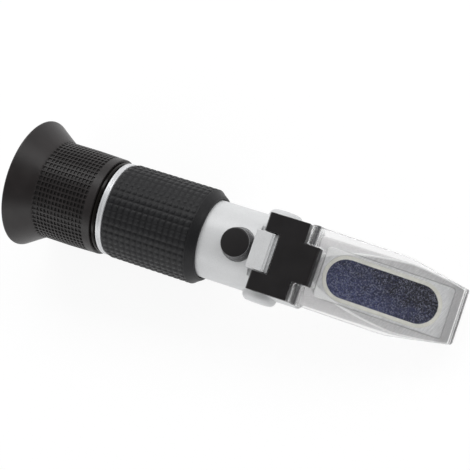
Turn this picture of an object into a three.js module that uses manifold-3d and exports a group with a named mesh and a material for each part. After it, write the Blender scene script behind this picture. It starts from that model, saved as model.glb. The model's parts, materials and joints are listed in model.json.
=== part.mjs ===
// A hand-held refractometer, in millimetres, with +Z up.
// Inside the tilted group the optical axis is the local X axis. It starts at the rim of the
// eyecup and runs to the nose of the prism head. The clear plate opens upwards.

import * as THREE from 'three';
import { mergeVertices } from 'three/addons/utils/BufferGeometryUtils.js';
import Module from 'manifold-3d';

const wasm = await Module();
wasm.setup();

// Fineness of round shapes
const roundSteps = 48;
const innerSteps = 32;
const smallSteps = 24;
const arcSteps = 8;
const lensArcSteps = 3;
const mergeTolerance = 0.0005;

// Clearances
const seatGap = 0.3;
const cutOverrun = 2;
const swingRoom = 0.5;

// Eyecup
const cupRimRadius = 20.9;
const cupRimWidth = 1.4;
const cupRimRound = 0.5;
const cupRimLand = 0.3;
const cupFlareLength = 8.9;
const cupLength = 29;
const cupWall = 1.3;
const cupNeckDraft = 0.3;
const cupThroatStep = 1.8;
const cupLipDepth = 1.2;

// Focus sleeve
const sleeveWall = 1.9;
const sleeveRear = 8.6;
const sleeveRearWall = 1.7;
const sleeveRearStep = 0.8;
const sleeveFlangeStep = 0.6;
const sleeveFlangeLength = 1;
const focusRoom = 0.6;

// Trim ring
const trimStep = 2.6;
const trimLength = 1.9;
const trimBevel = 0.35;

// Rubber grip
const gripStep = 2.9;
const gripLength = 31.5;
const gripShoulderLength = 3.4;
const gripShoulderWall = 0.9;
const gripBevel = 0.4;

// Main tube
const tubeRadius = 12.5;
const tubeNeckStep = 0.3;
const tubeNeckLength = 19.1;
const tubeWall = 2;
const tubeRearBoreLength = 37;
const tubeRoof = 1;

// Round bosses on the sides of the tube
const bossTopRadius = 3.3;
const bossStep = 2.2;
const bossRootDepth = 1.7;
const bossBack = 2.2;

// Cap and calibration screw
const capFromGrip = 12.4;
const capBaseRadius = 5;
const capTopRadius = 4.6;
const capRoof = 1.6;
const capRound = 0.5;
const capSeatRadius = 5.3;
const collarRadius = 3.4;
const collarHeight = 2.2;
const screwHeadRadius = 2.4;
const screwHeadHeight = 2;
const screwHeadSink = 0.8;
const screwRadius = 1.2;
const screwSlotWidth = 0.7;
const screwSlotDepth = 0.9;
const screwTipGap = 0.5;

// Hinge: lug, link and pins
const lugLength = 4.9;
const lugHalfWidth = 5.9;
const lugNoseRadius = 2.1;
const linkEndRadius = 3.1;
const linkHalfWidth = 12;
const armReach = 10.2;
const tongueReach = 2.9;
const tongueBevel = 0.6;
const rearPinRadius = 0.9;
const rearPinInset = 0.5;
const frontPinRadius = 0.75;
const frontPinProud = 0.2;
const lugScrewRadius = 0.8;
const lugScrewHeadRadius = 1.5;
const lugScrewHeadHeight = 1;
const lugScrewGrip = 1.6;
const lugScrewSpread = 3.4;
const lugScrewFromPin = 2.1;

// Prism head
const headRadius = 11;
const headLength = 46.5;
const headBevel = 0.6;
const headTaperLength = 16.5;
const headTipRadius = 8.7;
const headSpigotLength = 7.5;
const headBore = 6.4;
const headNoseRound = 2;
const flatLead = 0.8;
const flatAngle = THREE.MathUtils.degToRad(16);
const sealRadius = 0.7;
const sealFromShoulder = 3;

// Window, sealant and frame, measured down the slope of the cut face
const windowStart = 6.7;
const windowFrontMargin = 6.33;
const windowHalfWidth = 5.9;
const sealantWidth = 0.8;
const frameRearWall = 0.6;
const frameFrontWall = 2;
const frameSideWall = 0.5;
const frameThickness = 1;
const frameCorner = 1.2;
const prismFloor = 5;
const prismRearInset = 1.6;

// Clear plate
const knuckleRadius = 1.9;
const plateHalfWidth = 12.15;
const plateTipHalfWidth = 8.6;
const plateThickness = 2.6;
const plateLength = 47.6;
const plateTaperStart = 28.5;
const plateBendLength = 6;
const plateTipRound = 0.8;
const lipThickness = 0.6;
const lipHeight = 1.6;
const lipRun = 4.6;
const tongueClearance = 0.95;

// Eyepiece lenses
const barrelWall = 1.3;
const barrelFrontMargin = 2.1;
const barrelLip = 1;
const barrelLipWidth = 1.1;
const eyeLensThickness = 4;
const eyeLensEdge = 2;
const fieldLensThickness = 3.5;
const fieldLensEdge = 1.8;
const spacerLength = 6.8;
const spacerWall = 1;
const lensRingLength = 1.8;

// Reticle
const reticleFromGrip = 3;
const reticleCellLength = 7;
const reticleSeatDepth = 4;
const reticleCellWall = 1.6;
const reticleThickness = 1.6;
const reticleApertureStep = 1.5;
const reticleRingLength = 1.4;

// Baffle
const baffleFromReticle = 3;
const baffleLength = 2;
const baffleBore = 5.5;

// Temperature compensation
const anchorFromBaffle = 2;
const anchorLength = 7;
const anchorHalfWidth = 4;
const stripHeight = -5.9;
const stripThickness = 0.6;
const stripHalfWidth = 3;
const stripOverlap = 2.6;
const anchorScrewRadius = 1;
const anchorScrewHeadRadius = 1.9;
const anchorScrewHeadHeight = 1.2;

// Objective
const cellClearance = 1;
const cellRearReach = 4;
const cellLength = 10;
const cellAperture = 4.6;
const cellLensSeat = 5.6;
const cellSeatDepth = 4.6;
const objectiveThickness = 2.7;
const objectiveEdge = 1.4;
const objectiveRingLength = 1;
const objectiveRingWall = 0.8;
const cellSlotRoom = 0.7;

// Places along the optical axis
const sleeveFlangeStart = cupLength + seatGap;
const sleeveFront = sleeveFlangeStart + sleeveFlangeLength;
const trimStart = sleeveFront + focusRoom;
const trimEnd = trimStart + trimLength;
const gripStart = trimEnd + seatGap;
const gripEnd = gripStart + gripLength;
const tubeStart = gripStart - tubeNeckLength;
const rearBoreEnd = gripStart + tubeRearBoreLength;
const capCentre = gripEnd + capFromGrip;
const lugRear = capCentre + capBaseRadius + seatGap;
const rearPinX = lugRear + lugLength;
const bridgeRear = rearPinX + lugNoseRadius + seatGap;
const armFront = rearPinX + armReach;
const frontPinX = armFront + seatGap + knuckleRadius;
const tongueFront = frontPinX + tongueReach;
const tubeEnd = armFront;
const headStart = tubeEnd + seatGap;
const headEnd = headStart + headLength;
const taperStart = headEnd - headTaperLength;
const flatStart = frontPinX - flatLead;
const bossCentre = rearPinX - bossBack;

// Heights above the optical axis
const pinHeight = headRadius + seatGap + knuckleRadius;
const linkTop = pinHeight + lugNoseRadius;
const linkBottom = headRadius + seatGap;
const tubeFlatHeight = pinHeight - linkEndRadius - swingRoom;
const tubeFrontBore = tubeFlatHeight - tubeRoof;
const capSeatHeight = Math.sqrt(tubeRadius ** 2 - capSeatRadius ** 2);

// Radii that follow from their neighbours
const tubeNeckRadius = tubeRadius - tubeNeckStep;
const tubeRearBore = tubeRadius - tubeWall;
const trimRadius = tubeRadius + trimStep;
const gripRadius = tubeRadius + gripStep;
const sleeveBore = tubeNeckRadius + seatGap;
const sleeveRadius = sleeveBore + sleeveWall;
const sleeveFlangeRadius = sleeveRadius + sleeveFlangeStep;
const cupThroatRadius = sleeveRadius - cupThroatStep;
const cupNeckBore = sleeveRadius + seatGap;
const cupNeckRadius = cupNeckBore + cupWall;
const cupNeckFrontRadius = cupNeckRadius - cupNeckDraft;
const gripBore = tubeRadius + seatGap;
const barrelRadius = tubeRearBore - seatGap;
const sleeveRearBore = barrelRadius - sleeveRearStep;
const barrelBore = barrelRadius - barrelWall;
const lensRadius = barrelBore - seatGap;
const reticleCellRadius = tubeRearBore - seatGap;
const reticleSeatRadius = reticleCellRadius - reticleCellWall;
const reticleRadius = reticleSeatRadius - seatGap;
const reticleAperture = reticleRadius - reticleApertureStep;
const headSpigotRadius = tubeFrontBore - seatGap;
const cellRadius = tubeFrontBore - cellClearance;
const objectiveRadius = cellLensSeat - seatGap;
const bossReach = tubeRadius + bossStep;
const bossRoot = tubeRadius - bossRootDepth;
const capHeight = collarHeight + seatGap + capRoof;
const rearPinHole = rearPinRadius + seatGap;
const frontPinHole = frontPinRadius + seatGap;

// Shape tools

function faceOut(geometry) {
  const position = geometry.attributes.position;
  const index = geometry.index.array;
  const [a, b, c] = [new THREE.Vector3(), new THREE.Vector3(), new THREE.Vector3()];
  let volume = 0;
  for (let i = 0; i < index.length; i += 3) {
    a.fromBufferAttribute(position, index[i]);
    b.fromBufferAttribute(position, index[i + 1]);
    c.fromBufferAttribute(position, index[i + 2]);
    volume += a.dot(b.cross(c));
  }
  if (volume < 0) {
    for (let i = 0; i < index.length; i += 3) {
      const first = index[i];
      index[i] = index[i + 1];
      index[i + 1] = first;
    }
  }
  return geometry;
}

function closed(geometry) {
  const bare = new THREE.BufferGeometry();
  bare.setAttribute('position', geometry.attributes.position);
  bare.setIndex(geometry.index);
  const merged = mergeVertices(bare, mergeTolerance);
  const kept = [];
  const index = merged.index.array;
  for (let i = 0; i < index.length; i += 3) {
    const [a, b, c] = [index[i], index[i + 1], index[i + 2]];
    if (a !== b && b !== c && c !== a) {
      kept.push(a, b, c);
    }
  }
  merged.setIndex(kept);
  return faceOut(merged);
}

function toSolid(geometry) {
  const shape = closed(geometry);
  return new wasm.Manifold(new wasm.Mesh({
    numProp: 3,
    vertProperties: new Float32Array(shape.attributes.position.array),
    triVerts: new Uint32Array(shape.index.array),
  }));
}

function toGeometry(solid) {
  const { numProp, vertProperties, triVerts } = solid.getMesh();
  const points = [];
  for (let i = 0; i < vertProperties.length; i += numProp) {
    points.push(vertProperties[i], vertProperties[i + 1], vertProperties[i + 2]);
  }
  const geometry = new THREE.BufferGeometry();
  geometry.setAttribute('position', new THREE.Float32BufferAttribute(points, 3));
  geometry.setIndex(Array.from(triVerts));
  return geometry;
}

function join(first, ...others) {
  return toGeometry(others.reduce((solid, other) => solid.add(toSolid(other)), toSolid(first)));
}

function cut(first, ...others) {
  return toGeometry(others.reduce((solid, other) => solid.subtract(toSolid(other)), toSolid(first)));
}

function common(first, ...others) {
  return toGeometry(others.reduce((solid, other) => solid.intersect(toSolid(other)), toSolid(first)));
}

// A profile is a list of [radius, place along the axis]. One flat side of the round lies lowest.
function spun(profile, steps) {
  const points = profile.map(([radius, along]) => new THREE.Vector2(radius, along));
  return closed(new THREE.LatheGeometry(points, steps, Math.PI / steps));
}

function spunX(profile, steps = roundSteps) {
  return spun(profile, steps).rotateZ(-Math.PI / 2);
}

function spunY(profile, steps = smallSteps) {
  return spun(profile, steps);
}

function spunZ(profile, steps = smallSteps) {
  return spun(profile, steps).rotateX(Math.PI / 2);
}

function ringProfile(outer, inner, start, end) {
  return [[inner, start], [outer, start], [outer, end], [inner, end], [inner, start]];
}

function discProfile(radius, start, end) {
  return [[0, start], [radius, start], [radius, end], [0, end]];
}

// Points of an arc as pairs, from one angle to another about a centre
function arc(centreX, centreY, radius, from, to, steps = arcSteps) {
  return Array.from({ length: steps + 1 }, (_, i) => {
    const angle = from + ((to - from) * i) / steps;
    return [centreX + radius * Math.cos(angle), centreY + radius * Math.sin(angle)];
  });
}

// The radius of a bow that rises by the given height over the given half span
function bowRadius(halfSpan, height) {
  return (halfSpan ** 2 + height ** 2) / (2 * height);
}

// A lens with two domed faces; its edge is thinner than its middle
function lensProfile(radius, start, thickness, edge) {
  const ball = bowRadius(radius, (thickness - edge) / 2);
  const half = Math.asin(radius / ball);
  const rear = arc(0, start + ball, ball, -Math.PI / 2, -Math.PI / 2 + half, lensArcSteps);
  const front = arc(0, start + thickness - ball, ball, Math.PI / 2 - half, Math.PI / 2, lensArcSteps);
  rear[0][0] = 0;
  front[front.length - 1][0] = 0;
  return [...rear, ...front];
}

function shapeOf(points) {
  return new THREE.Shape(points.map(([x, y]) => new THREE.Vector2(x, y)));
}

// An outline of [x, z] pairs, carried along Y between two places
function alongY(points, start, end) {
  const geometry = new THREE.ExtrudeGeometry(shapeOf(points), { depth: end - start, bevelEnabled: false });
  return closed(geometry.rotateX(Math.PI / 2).translate(0, end, 0));
}

// An outline of [x, y] pairs, carried up Z between two heights
function alongZ(points, bottom, top) {
  const geometry = new THREE.ExtrudeGeometry(shapeOf(points), { depth: top - bottom, bevelEnabled: false });
  return closed(geometry.translate(0, 0, bottom));
}

function boxBetween(low, high) {
  const size = high.map((value, i) => value - low[i]);
  const centre = high.map((value, i) => (value + low[i]) / 2);
  return closed(new THREE.BoxGeometry(...size).translate(...centre));
}

// An outline with round ends: a slot from start to end with the given half width
function slotPoints(start, end, halfWidth) {
  return [
    ...arc(end - halfWidth, 0, halfWidth, -Math.PI / 2, Math.PI / 2, 2 * arcSteps),
    ...arc(start + halfWidth, 0, halfWidth, Math.PI / 2, (3 * Math.PI) / 2, 2 * arcSteps),
  ];
}

function roundedBoxPoints(start, end, halfWidth, corner) {
  const quarter = Math.PI / 2;
  return [
    ...arc(end - corner, -halfWidth + corner, corner, -quarter, 0),
    ...arc(end - corner, halfWidth - corner, corner, 0, quarter),
    ...arc(start + corner, halfWidth - corner, corner, quarter, 2 * quarter),
    ...arc(start + corner, -halfWidth + corner, corner, 2 * quarter, 3 * quarter),
  ];
}

function piece(name, geometry, material) {
  const smooth = geometry.index ? geometry : closed(geometry);
  smooth.computeVertexNormals();
  const mesh = new THREE.Mesh(smooth, material);
  mesh.name = name;
  return mesh;
}

// Finishes

function finish(color, roughness, metalness, more = {}) {
  return new THREE.MeshStandardMaterial({ color, roughness, metalness, ...more });
}

const satinMetal = () => finish(0xc9cacb, 0.42, 0.9);
const brushedMetal = () => finish(0xb9babc, 0.38, 0.95);
const brightSteel = () => finish(0xb4b5b8, 0.22, 1);
const cupRubber = () => finish(0x343334, 0.62, 0);
const gripRubber = () => finish(0x2c2d2f, 0.78, 0);
const capRubber = () => finish(0x2a2829, 0.66, 0);
const blackPlastic = () => finish(0x252324, 0.48, 0);
const glossBlack = () => finish(0x17130f, 0.2, 0);
const blackMetal = () => finish(0x1d1d1e, 0.6, 0.3);
const brassMetal = () => finish(0xb08d48, 0.35, 1);
const clearAcrylic = () => finish(0xe9ecec, 0.08, 0, { transparent: true, opacity: 0.3 });
const opticalGlass = () => finish(0xdfe8ea, 0.04, 0, { transparent: true, opacity: 0.35 });
const blueGlass = () => finish(0x3c3f55, 0.25, 0.1);
const creamSealant = () => finish(0xdedcd2, 0.55, 0);

// Eyepiece

function eyecup() {
  const innerRim = cupRimRadius - cupRimWidth;
  const flareBore = cupNeckBore - cupWall;
  const outer = [
    [cupRimRadius - cupRimRound, 0],
    [cupRimRadius, cupRimRound],
    [cupRimRadius, cupRimRound + cupRimLand],
    [cupNeckRadius, cupFlareLength],
    [cupNeckRadius, (cupFlareLength + cupLength) / 2],
    [cupNeckFrontRadius, cupLength],
  ];
  const inner = [
    [cupNeckBore, cupLength],
    [cupNeckBore, sleeveRear - seatGap],
    [cupThroatRadius, sleeveRear - seatGap],
    [cupThroatRadius, sleeveRear - seatGap - cupLipDepth],
    [flareBore, sleeveRear - seatGap - 2 * cupLipDepth],
    [innerRim, cupRimWidth],
    [innerRim, 0],
  ];
  return piece('eyecup', spunX([...outer, ...inner, outer[0]]), cupRubber());
}

function focusSleeve() {
  const profile = [
    [sleeveRearBore, sleeveRear],
    [sleeveRadius, sleeveRear],
    [sleeveRadius, sleeveFlangeStart],
    [sleeveFlangeRadius, sleeveFlangeStart],
    [sleeveFlangeRadius, sleeveFront],
    [sleeveBore, sleeveFront],
    [sleeveBore, sleeveRear + sleeveRearWall],
    [sleeveRearBore, sleeveRear + sleeveRearWall],
    [sleeveRearBore, sleeveRear],
  ];
  return piece('focus_sleeve', spunX(profile), glossBlack());
}

const barrelStart = sleeveRear + sleeveRearWall + seatGap;
const eyeLensStart = barrelStart + barrelLip + seatGap;
const spacerStart = eyeLensStart + eyeLensThickness + seatGap;
const fieldLensStart = spacerStart + spacerLength + seatGap;
const lensRingStart = fieldLensStart + fieldLensThickness + seatGap;
const lensRingEnd = lensRingStart + lensRingLength;
const barrelEnd = lensRingEnd + barrelFrontMargin;

function lensBarrel() {
  const profile = [
    [barrelBore - barrelLipWidth, barrelStart],
    [barrelRadius, barrelStart],
    [barrelRadius, barrelEnd],
    [barrelBore, barrelEnd],
    [barrelBore, barrelStart + barrelLip],
    [barrelBore - barrelLipWidth, barrelStart + barrelLip],
    [barrelBore - barrelLipWidth, barrelStart],
  ];
  return piece('lens_barrel', spunX(profile, innerSteps), blackMetal());
}

function eyeLens() {
  const profile = lensProfile(lensRadius, eyeLensStart, eyeLensThickness, eyeLensEdge);
  return piece('eye_lens', spunX(profile, innerSteps), opticalGlass());
}

function lensSpacer() {
  const profile = ringProfile(lensRadius, lensRadius - spacerWall, spacerStart, spacerStart + spacerLength);
  return piece('lens_spacer', spunX(profile, innerSteps), blackMetal());
}

function fieldLens() {
  const profile = lensProfile(lensRadius, fieldLensStart, fieldLensThickness, fieldLensEdge);
  return piece('field_lens', spunX(profile, innerSteps), opticalGlass());
}

function lensRing() {
  const profile = ringProfile(lensRadius, lensRadius - spacerWall, lensRingStart, lensRingEnd);
  return piece('lens_ring', spunX(profile, innerSteps), blackMetal());
}

// Reticle and baffle

const reticleStart = gripStart + reticleFromGrip;
const reticleEnd = reticleStart + reticleCellLength;
const reticleFloor = reticleStart + reticleSeatDepth;
const discFront = reticleFloor - seatGap;
const discRear = discFront - reticleThickness;
const reticleRingEnd = discRear - seatGap;

function reticleCell() {
  const profile = [
    [reticleSeatRadius, reticleStart],
    [reticleCellRadius, reticleStart],
    [reticleCellRadius, reticleEnd],
    [reticleAperture, reticleEnd],
    [reticleAperture, reticleFloor],
    [reticleSeatRadius, reticleFloor],
    [reticleSeatRadius, reticleStart],
  ];
  return piece('reticle_cell', spunX(profile, innerSteps), blackMetal());
}

function reticleDisc() {
  const profile = discProfile(reticleRadius, discRear, discFront);
  return piece('reticle_disc', spunX(profile, innerSteps), opticalGlass());
}

function reticleRing() {
  const start = reticleRingEnd - reticleRingLength;
  const profile = ringProfile(reticleRadius, reticleAperture, start, reticleRingEnd);
  return piece('reticle_ring', spunX(profile, innerSteps), brassMetal());
}

const baffleStart = reticleEnd + baffleFromReticle;
const baffleEnd = baffleStart + baffleLength;

function lightBaffle() {
  const profile = ringProfile(reticleCellRadius, baffleBore, baffleStart, baffleEnd);
  return piece('light_baffle', spunX(profile, innerSteps), blackMetal());
}

// Body

function trimRing() {
  const bore = tubeNeckRadius + seatGap;
  const profile = [
    [bore, trimStart],
    [trimRadius - trimBevel, trimStart],
    [trimRadius, trimStart + trimBevel],
    [trimRadius, trimEnd - trimBevel],
    [trimRadius - trimBevel, trimEnd],
    [bore, trimEnd],
    [bore, trimStart],
  ];
  return piece('trim_ring', spunX(profile), brightSteel());
}

function rubberGrip() {
  const shoulderStart = gripEnd - gripShoulderLength;
  const shoulderRadius = gripBore + gripShoulderWall;
  const profile = [
    [gripBore, gripStart],
    [gripRadius - gripBevel, gripStart],
    [gripRadius, gripStart + gripBevel],
    [gripRadius, shoulderStart],
    [(gripRadius + shoulderRadius) / 2 + gripBevel, shoulderStart + gripShoulderLength / 2],
    [shoulderRadius, gripEnd - gripBevel],
    [shoulderRadius - gripBevel, gripEnd],
    [gripBore, gripEnd],
    [gripBore, gripStart],
  ];
  return piece('rubber_grip', spunX(profile), gripRubber());
}

function sideBoss(side) {
  const profile = [
    [0, bossRoot],
    [bossTopRadius + bossStep, bossRoot],
    ...arc(bossTopRadius, tubeRadius, bossStep, 0, Math.PI / 2, arcSteps / 2),
    [0, bossReach],
  ];
  const boss = spunY(profile);
  if (side < 0) {
    boss.rotateZ(Math.PI);
  }
  return boss.translate(bossCentre, 0, 0);
}

const lugBottom = tubeFlatHeight + seatGap;
const lugScrewPlaces = [-1, 1].map((side) => [rearPinX - lugScrewFromPin, side * lugScrewSpread]);
const lugScrewHeadEdge = lugScrewSpread + lugScrewHeadRadius;
const lugScrewHeadTop = Math.sqrt(tubeFrontBore ** 2 - lugScrewHeadEdge ** 2) - seatGap;

function mainTube() {
  const body = spunX([
    [tubeRearBore, tubeStart],
    [tubeNeckRadius, tubeStart],
    [tubeNeckRadius, gripStart],
    [tubeRadius, gripStart],
    [tubeRadius, tubeEnd],
    [tubeFrontBore, tubeEnd],
    [tubeFrontBore, rearBoreEnd],
    [tubeRearBore, rearBoreEnd],
    [tubeRearBore, tubeStart],
  ]);
  const high = tubeRadius + cutOverrun;
  const bossed = join(body, sideBoss(1), sideBoss(-1));
  const lugHoles = lugScrewPlaces.map(([x, y]) => {
    const hole = spunZ(discProfile(lugScrewRadius + seatGap, lugScrewHeadTop - cutOverrun, high));
    return hole.translate(x, y, 0);
  });
  const hingeFlat = boxBetween(
    [lugRear - seatGap, -high, tubeFlatHeight],
    [tubeEnd + cutOverrun, high, high],
  );
  const capSeat = spunZ(discProfile(capSeatRadius, capSeatHeight, high)).translate(capCentre, 0, 0);
  const collarTop = capSeatHeight + collarHeight;
  const collar = spunZ(discProfile(collarRadius, capSeatHeight - collarHeight / 2, collarTop));
  const wellFloor = capSeatHeight - screwHeadSink;
  const well = spunZ(discProfile(screwHeadRadius + seatGap, wellFloor, collarTop + cutOverrun));
  const shankHole = spunZ(discProfile(screwRadius + seatGap, 0, wellFloor + cutOverrun / 2));
  const seated = cut(bossed, hingeFlat, capSeat, ...lugHoles);
  const collared = join(seated, collar.translate(capCentre, 0, 0));
  const holed = cut(collared, well.translate(capCentre, 0, 0), shankHole.translate(capCentre, 0, 0));
  return piece('main_tube', holed, satinMetal());
}

// Cap and calibration screw, each about its own axis, seated above the tube

function screwCap() {
  const bore = collarRadius + seatGap;
  const roof = capHeight - capRoof;
  const profile = [
    [0, roof],
    [bore, roof],
    [bore, 0],
    [capBaseRadius, 0],
    [(capBaseRadius + capTopRadius) / 2, capHeight / 2],
    [capTopRadius, capHeight - capRound],
    [capTopRadius - capRound, capHeight],
    [0, capHeight],
  ];
  const cap = piece('screw_cap', spunZ(profile, roundSteps), capRubber());
  cap.position.set(capCentre, 0, capSeatHeight + seatGap);
  return cap;
}

function calibrationScrew() {
  const tip = cellAperture + screwTipGap;
  const headBottom = capSeatHeight - screwHeadSink + seatGap;
  const headTop = headBottom + screwHeadHeight;
  const body = spunZ([
    [0, tip],
    [screwRadius, tip],
    [screwRadius, headBottom],
    [screwHeadRadius, headBottom],
    [screwHeadRadius, headTop],
    [0, headTop],
  ]);
  const reach = screwHeadRadius + cutOverrun;
  const slot = boxBetween(
    [-reach, -screwSlotWidth / 2, headTop - screwSlotDepth],
    [reach, screwSlotWidth / 2, headTop + cutOverrun],
  );
  const screw = piece('calibration_screw', cut(body, slot), brassMetal());
  screw.position.x = capCentre;
  return screw;
}

// Objective, moved up and down by the calibration screw

const cellStart = capCentre - cellRearReach;
const cellEnd = cellStart + cellLength;
const cellFloor = cellEnd - cellSeatDepth;
const objectiveStart = cellFloor + seatGap;
const objectiveRingStart = objectiveStart + objectiveThickness + seatGap;

function objectiveCell() {
  const body = spunX([
    [cellAperture, cellStart],
    [cellRadius, cellStart],
    [cellRadius, cellEnd],
    [cellLensSeat, cellEnd],
    [cellLensSeat, cellFloor],
    [cellAperture, cellFloor],
    [cellAperture, cellStart],
  ], innerSteps);
  const screwHole = spunZ(discProfile(screwRadius + seatGap, 0, cellRadius + cutOverrun));
  const slotHalfWidth = stripHalfWidth + seatGap;
  const slot = boxBetween(
    [cellStart - cutOverrun, -slotHalfWidth, stripHeight - cellSlotRoom],
    [cellStart + stripOverlap + seatGap, slotHalfWidth, stripHeight + stripThickness + cellSlotRoom],
  );
  return piece('objective_cell', cut(body, screwHole.translate(capCentre, 0, 0), slot), blackMetal());
}

function objectiveLens() {
  const profile = lensProfile(objectiveRadius, objectiveStart, objectiveThickness, objectiveEdge);
  return piece('objective_lens', spunX(profile, innerSteps), opticalGlass());
}

function objectiveRing() {
  const end = objectiveRingStart + objectiveRingLength;
  const profile = ringProfile(objectiveRadius, objectiveRadius - objectiveRingWall, objectiveRingStart, end);
  return piece('objective_ring', spunX(profile, innerSteps), blackMetal());
}

// Temperature compensation strip, held on a block inside the tube

const anchorStart = baffleEnd + anchorFromBaffle;
const anchorEnd = anchorStart + anchorLength;
const anchorMiddle = (anchorStart + anchorEnd) / 2;
const anchorTop = stripHeight - seatGap;
const stripTop = stripHeight + stripThickness;

function stripAnchor() {
  const round = spunX(discProfile(tubeRearBore - seatGap, anchorStart, anchorEnd));
  const block = boxBetween(
    [anchorStart - cutOverrun, -anchorHalfWidth, -tubeRearBore],
    [anchorEnd + cutOverrun, anchorHalfWidth, anchorTop],
  );
  const holeTop = anchorTop + cutOverrun;
  const hole = spunZ(discProfile(anchorScrewRadius + seatGap, -tubeRearBore - cutOverrun, holeTop));
  const shape = cut(common(round, block), hole.translate(anchorMiddle, 0, 0));
  return piece('strip_anchor', shape, brassMetal());
}

function bimetalStrip() {
  const strip = boxBetween(
    [anchorStart, -stripHalfWidth, stripHeight],
    [cellStart + stripOverlap, stripHalfWidth, stripTop],
  );
  const holeTop = stripTop + cutOverrun;
  const hole = spunZ(discProfile(anchorScrewRadius + seatGap, stripHeight - cutOverrun, holeTop));
  return piece('bimetal_strip', cut(strip, hole.translate(anchorMiddle, 0, 0)), brightSteel());
}

function anchorScrew() {
  const headBottom = stripTop + seatGap;
  const profile = [
    [0, -tubeRearBore + seatGap + anchorScrewRadius],
    [anchorScrewRadius, -tubeRearBore + seatGap + anchorScrewRadius],
    [anchorScrewRadius, headBottom],
    [anchorScrewHeadRadius, headBottom],
    [anchorScrewHeadRadius, headBottom + anchorScrewHeadHeight],
    [0, headBottom + anchorScrewHeadHeight],
  ];
  const screw = piece('anchor_screw', spunZ(profile), brightSteel());
  screw.position.x = anchorMiddle;
  return screw;
}

// Hinge

function pinGeometry(radius, halfLength) {
  return spunY(discProfile(radius, -halfLength, halfLength));
}

function hingeLug() {
  const outline = [
    [lugRear, lugBottom],
    [rearPinX + lugNoseRadius, lugBottom],
    ...arc(rearPinX, pinHeight, lugNoseRadius, 0, Math.PI / 2),
    [lugRear, linkTop],
  ];
  const body = alongY(outline, -lugHalfWidth, lugHalfWidth);
  const pinHole = pinGeometry(rearPinHole, lugHalfWidth + cutOverrun).translate(rearPinX, 0, pinHeight);
  const screwHoles = lugScrewPlaces.map(([x, y]) => {
    const holeTop = lugBottom + lugScrewGrip + seatGap;
    const profile = discProfile(lugScrewRadius + seatGap, lugBottom - cutOverrun, holeTop);
    return spunZ(profile).translate(x, y, 0);
  });
  return piece('hinge_lug', cut(body, pinHole, ...screwHoles), satinMetal());
}

function lugScrews() {
  const profile = [
    [0, lugScrewHeadTop - lugScrewHeadHeight],
    [lugScrewHeadRadius, lugScrewHeadTop - lugScrewHeadHeight],
    [lugScrewHeadRadius, lugScrewHeadTop],
    [lugScrewRadius, lugScrewHeadTop],
    [lugScrewRadius, lugBottom + lugScrewGrip],
    [0, lugBottom + lugScrewGrip],
  ];
  return lugScrewPlaces.map(([x, y], i) => {
    const screw = piece(`lug_screw_${i + 1}`, spunZ(profile), brightSteel());
    screw.position.set(x, y, 0);
    return screw;
  });
}

function hingeLink() {
  const up = Math.asin(lugNoseRadius / linkEndRadius);
  const down = Math.asin((pinHeight - linkBottom) / linkEndRadius);
  const side = [
    ...arc(rearPinX, pinHeight, linkEndRadius, Math.PI - up, Math.PI + down),
    [tongueFront, linkBottom],
    [tongueFront, linkTop - tongueBevel],
    [tongueFront - tongueBevel, linkTop],
  ];
  const inner = lugHalfWidth + seatGap;
  const rear = rearPinX - linkEndRadius - cutOverrun;
  const front = tongueFront + cutOverrun;
  const plan = [
    [rear, -linkHalfWidth],
    [armFront, -linkHalfWidth],
    [armFront, -lugHalfWidth],
    [front, -lugHalfWidth],
    [front, lugHalfWidth],
    [armFront, lugHalfWidth],
    [armFront, linkHalfWidth],
    [rear, linkHalfWidth],
    [rear, inner],
    [bridgeRear, inner],
    [bridgeRear, -inner],
    [rear, -inner],
  ];
  const bottom = pinHeight - linkEndRadius - cutOverrun;
  const blank = common(
    alongY(side, -linkHalfWidth - cutOverrun, linkHalfWidth + cutOverrun),
    alongZ(plan, bottom, linkTop + cutOverrun),
  );
  const span = linkHalfWidth + cutOverrun;
  const rearHole = pinGeometry(rearPinHole, span).translate(rearPinX, 0, pinHeight);
  const frontHole = pinGeometry(frontPinHole, span).translate(frontPinX, 0, pinHeight);
  return piece('hinge_link', cut(blank, rearHole, frontHole), blackPlastic());
}

function rearHingePin() {
  const halfLength = linkHalfWidth - rearPinInset;
  const pin = piece('rear_hinge_pin', pinGeometry(rearPinRadius, halfLength), brightSteel());
  pin.position.set(rearPinX, 0, pinHeight);
  return pin;
}

function frontHingePin() {
  const halfLength = plateHalfWidth + frontPinProud;
  const pin = piece('front_hinge_pin', pinGeometry(frontPinRadius, halfLength), brightSteel());
  pin.position.set(frontPinX, 0, pinHeight);
  return pin;
}

// Prism head

// Carries a shape from the cut face, where X runs down the slope, to the axis of the instrument
function fromSlope(geometry) {
  return geometry.rotateY(flatAngle).translate(flatStart, 0, headRadius);
}

function toSlope(geometry) {
  return geometry.translate(-flatStart, 0, -headRadius).rotateY(-flatAngle);
}

const faceLength = (headEnd - flatStart) / Math.cos(flatAngle);
const windowEnd = faceLength - windowFrontMargin;
const sealantReach = seatGap + sealantWidth;
const frameReach = sealantReach + seatGap;
const frameStart = windowStart - frameReach - frameRearWall;
const frameEnd = windowEnd + frameReach + frameFrontWall;
const frameHalfWidth = windowHalfWidth + frameReach + frameSideWall;

function headSeal() {
  const round = arc(headSpigotRadius - sealRadius, headStart - sealFromShoulder, sealRadius, 0, 2 * Math.PI);
  round[round.length - 1] = round[0];
  return piece('head_seal', spunX(round, innerSteps), capRubber());
}

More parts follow.
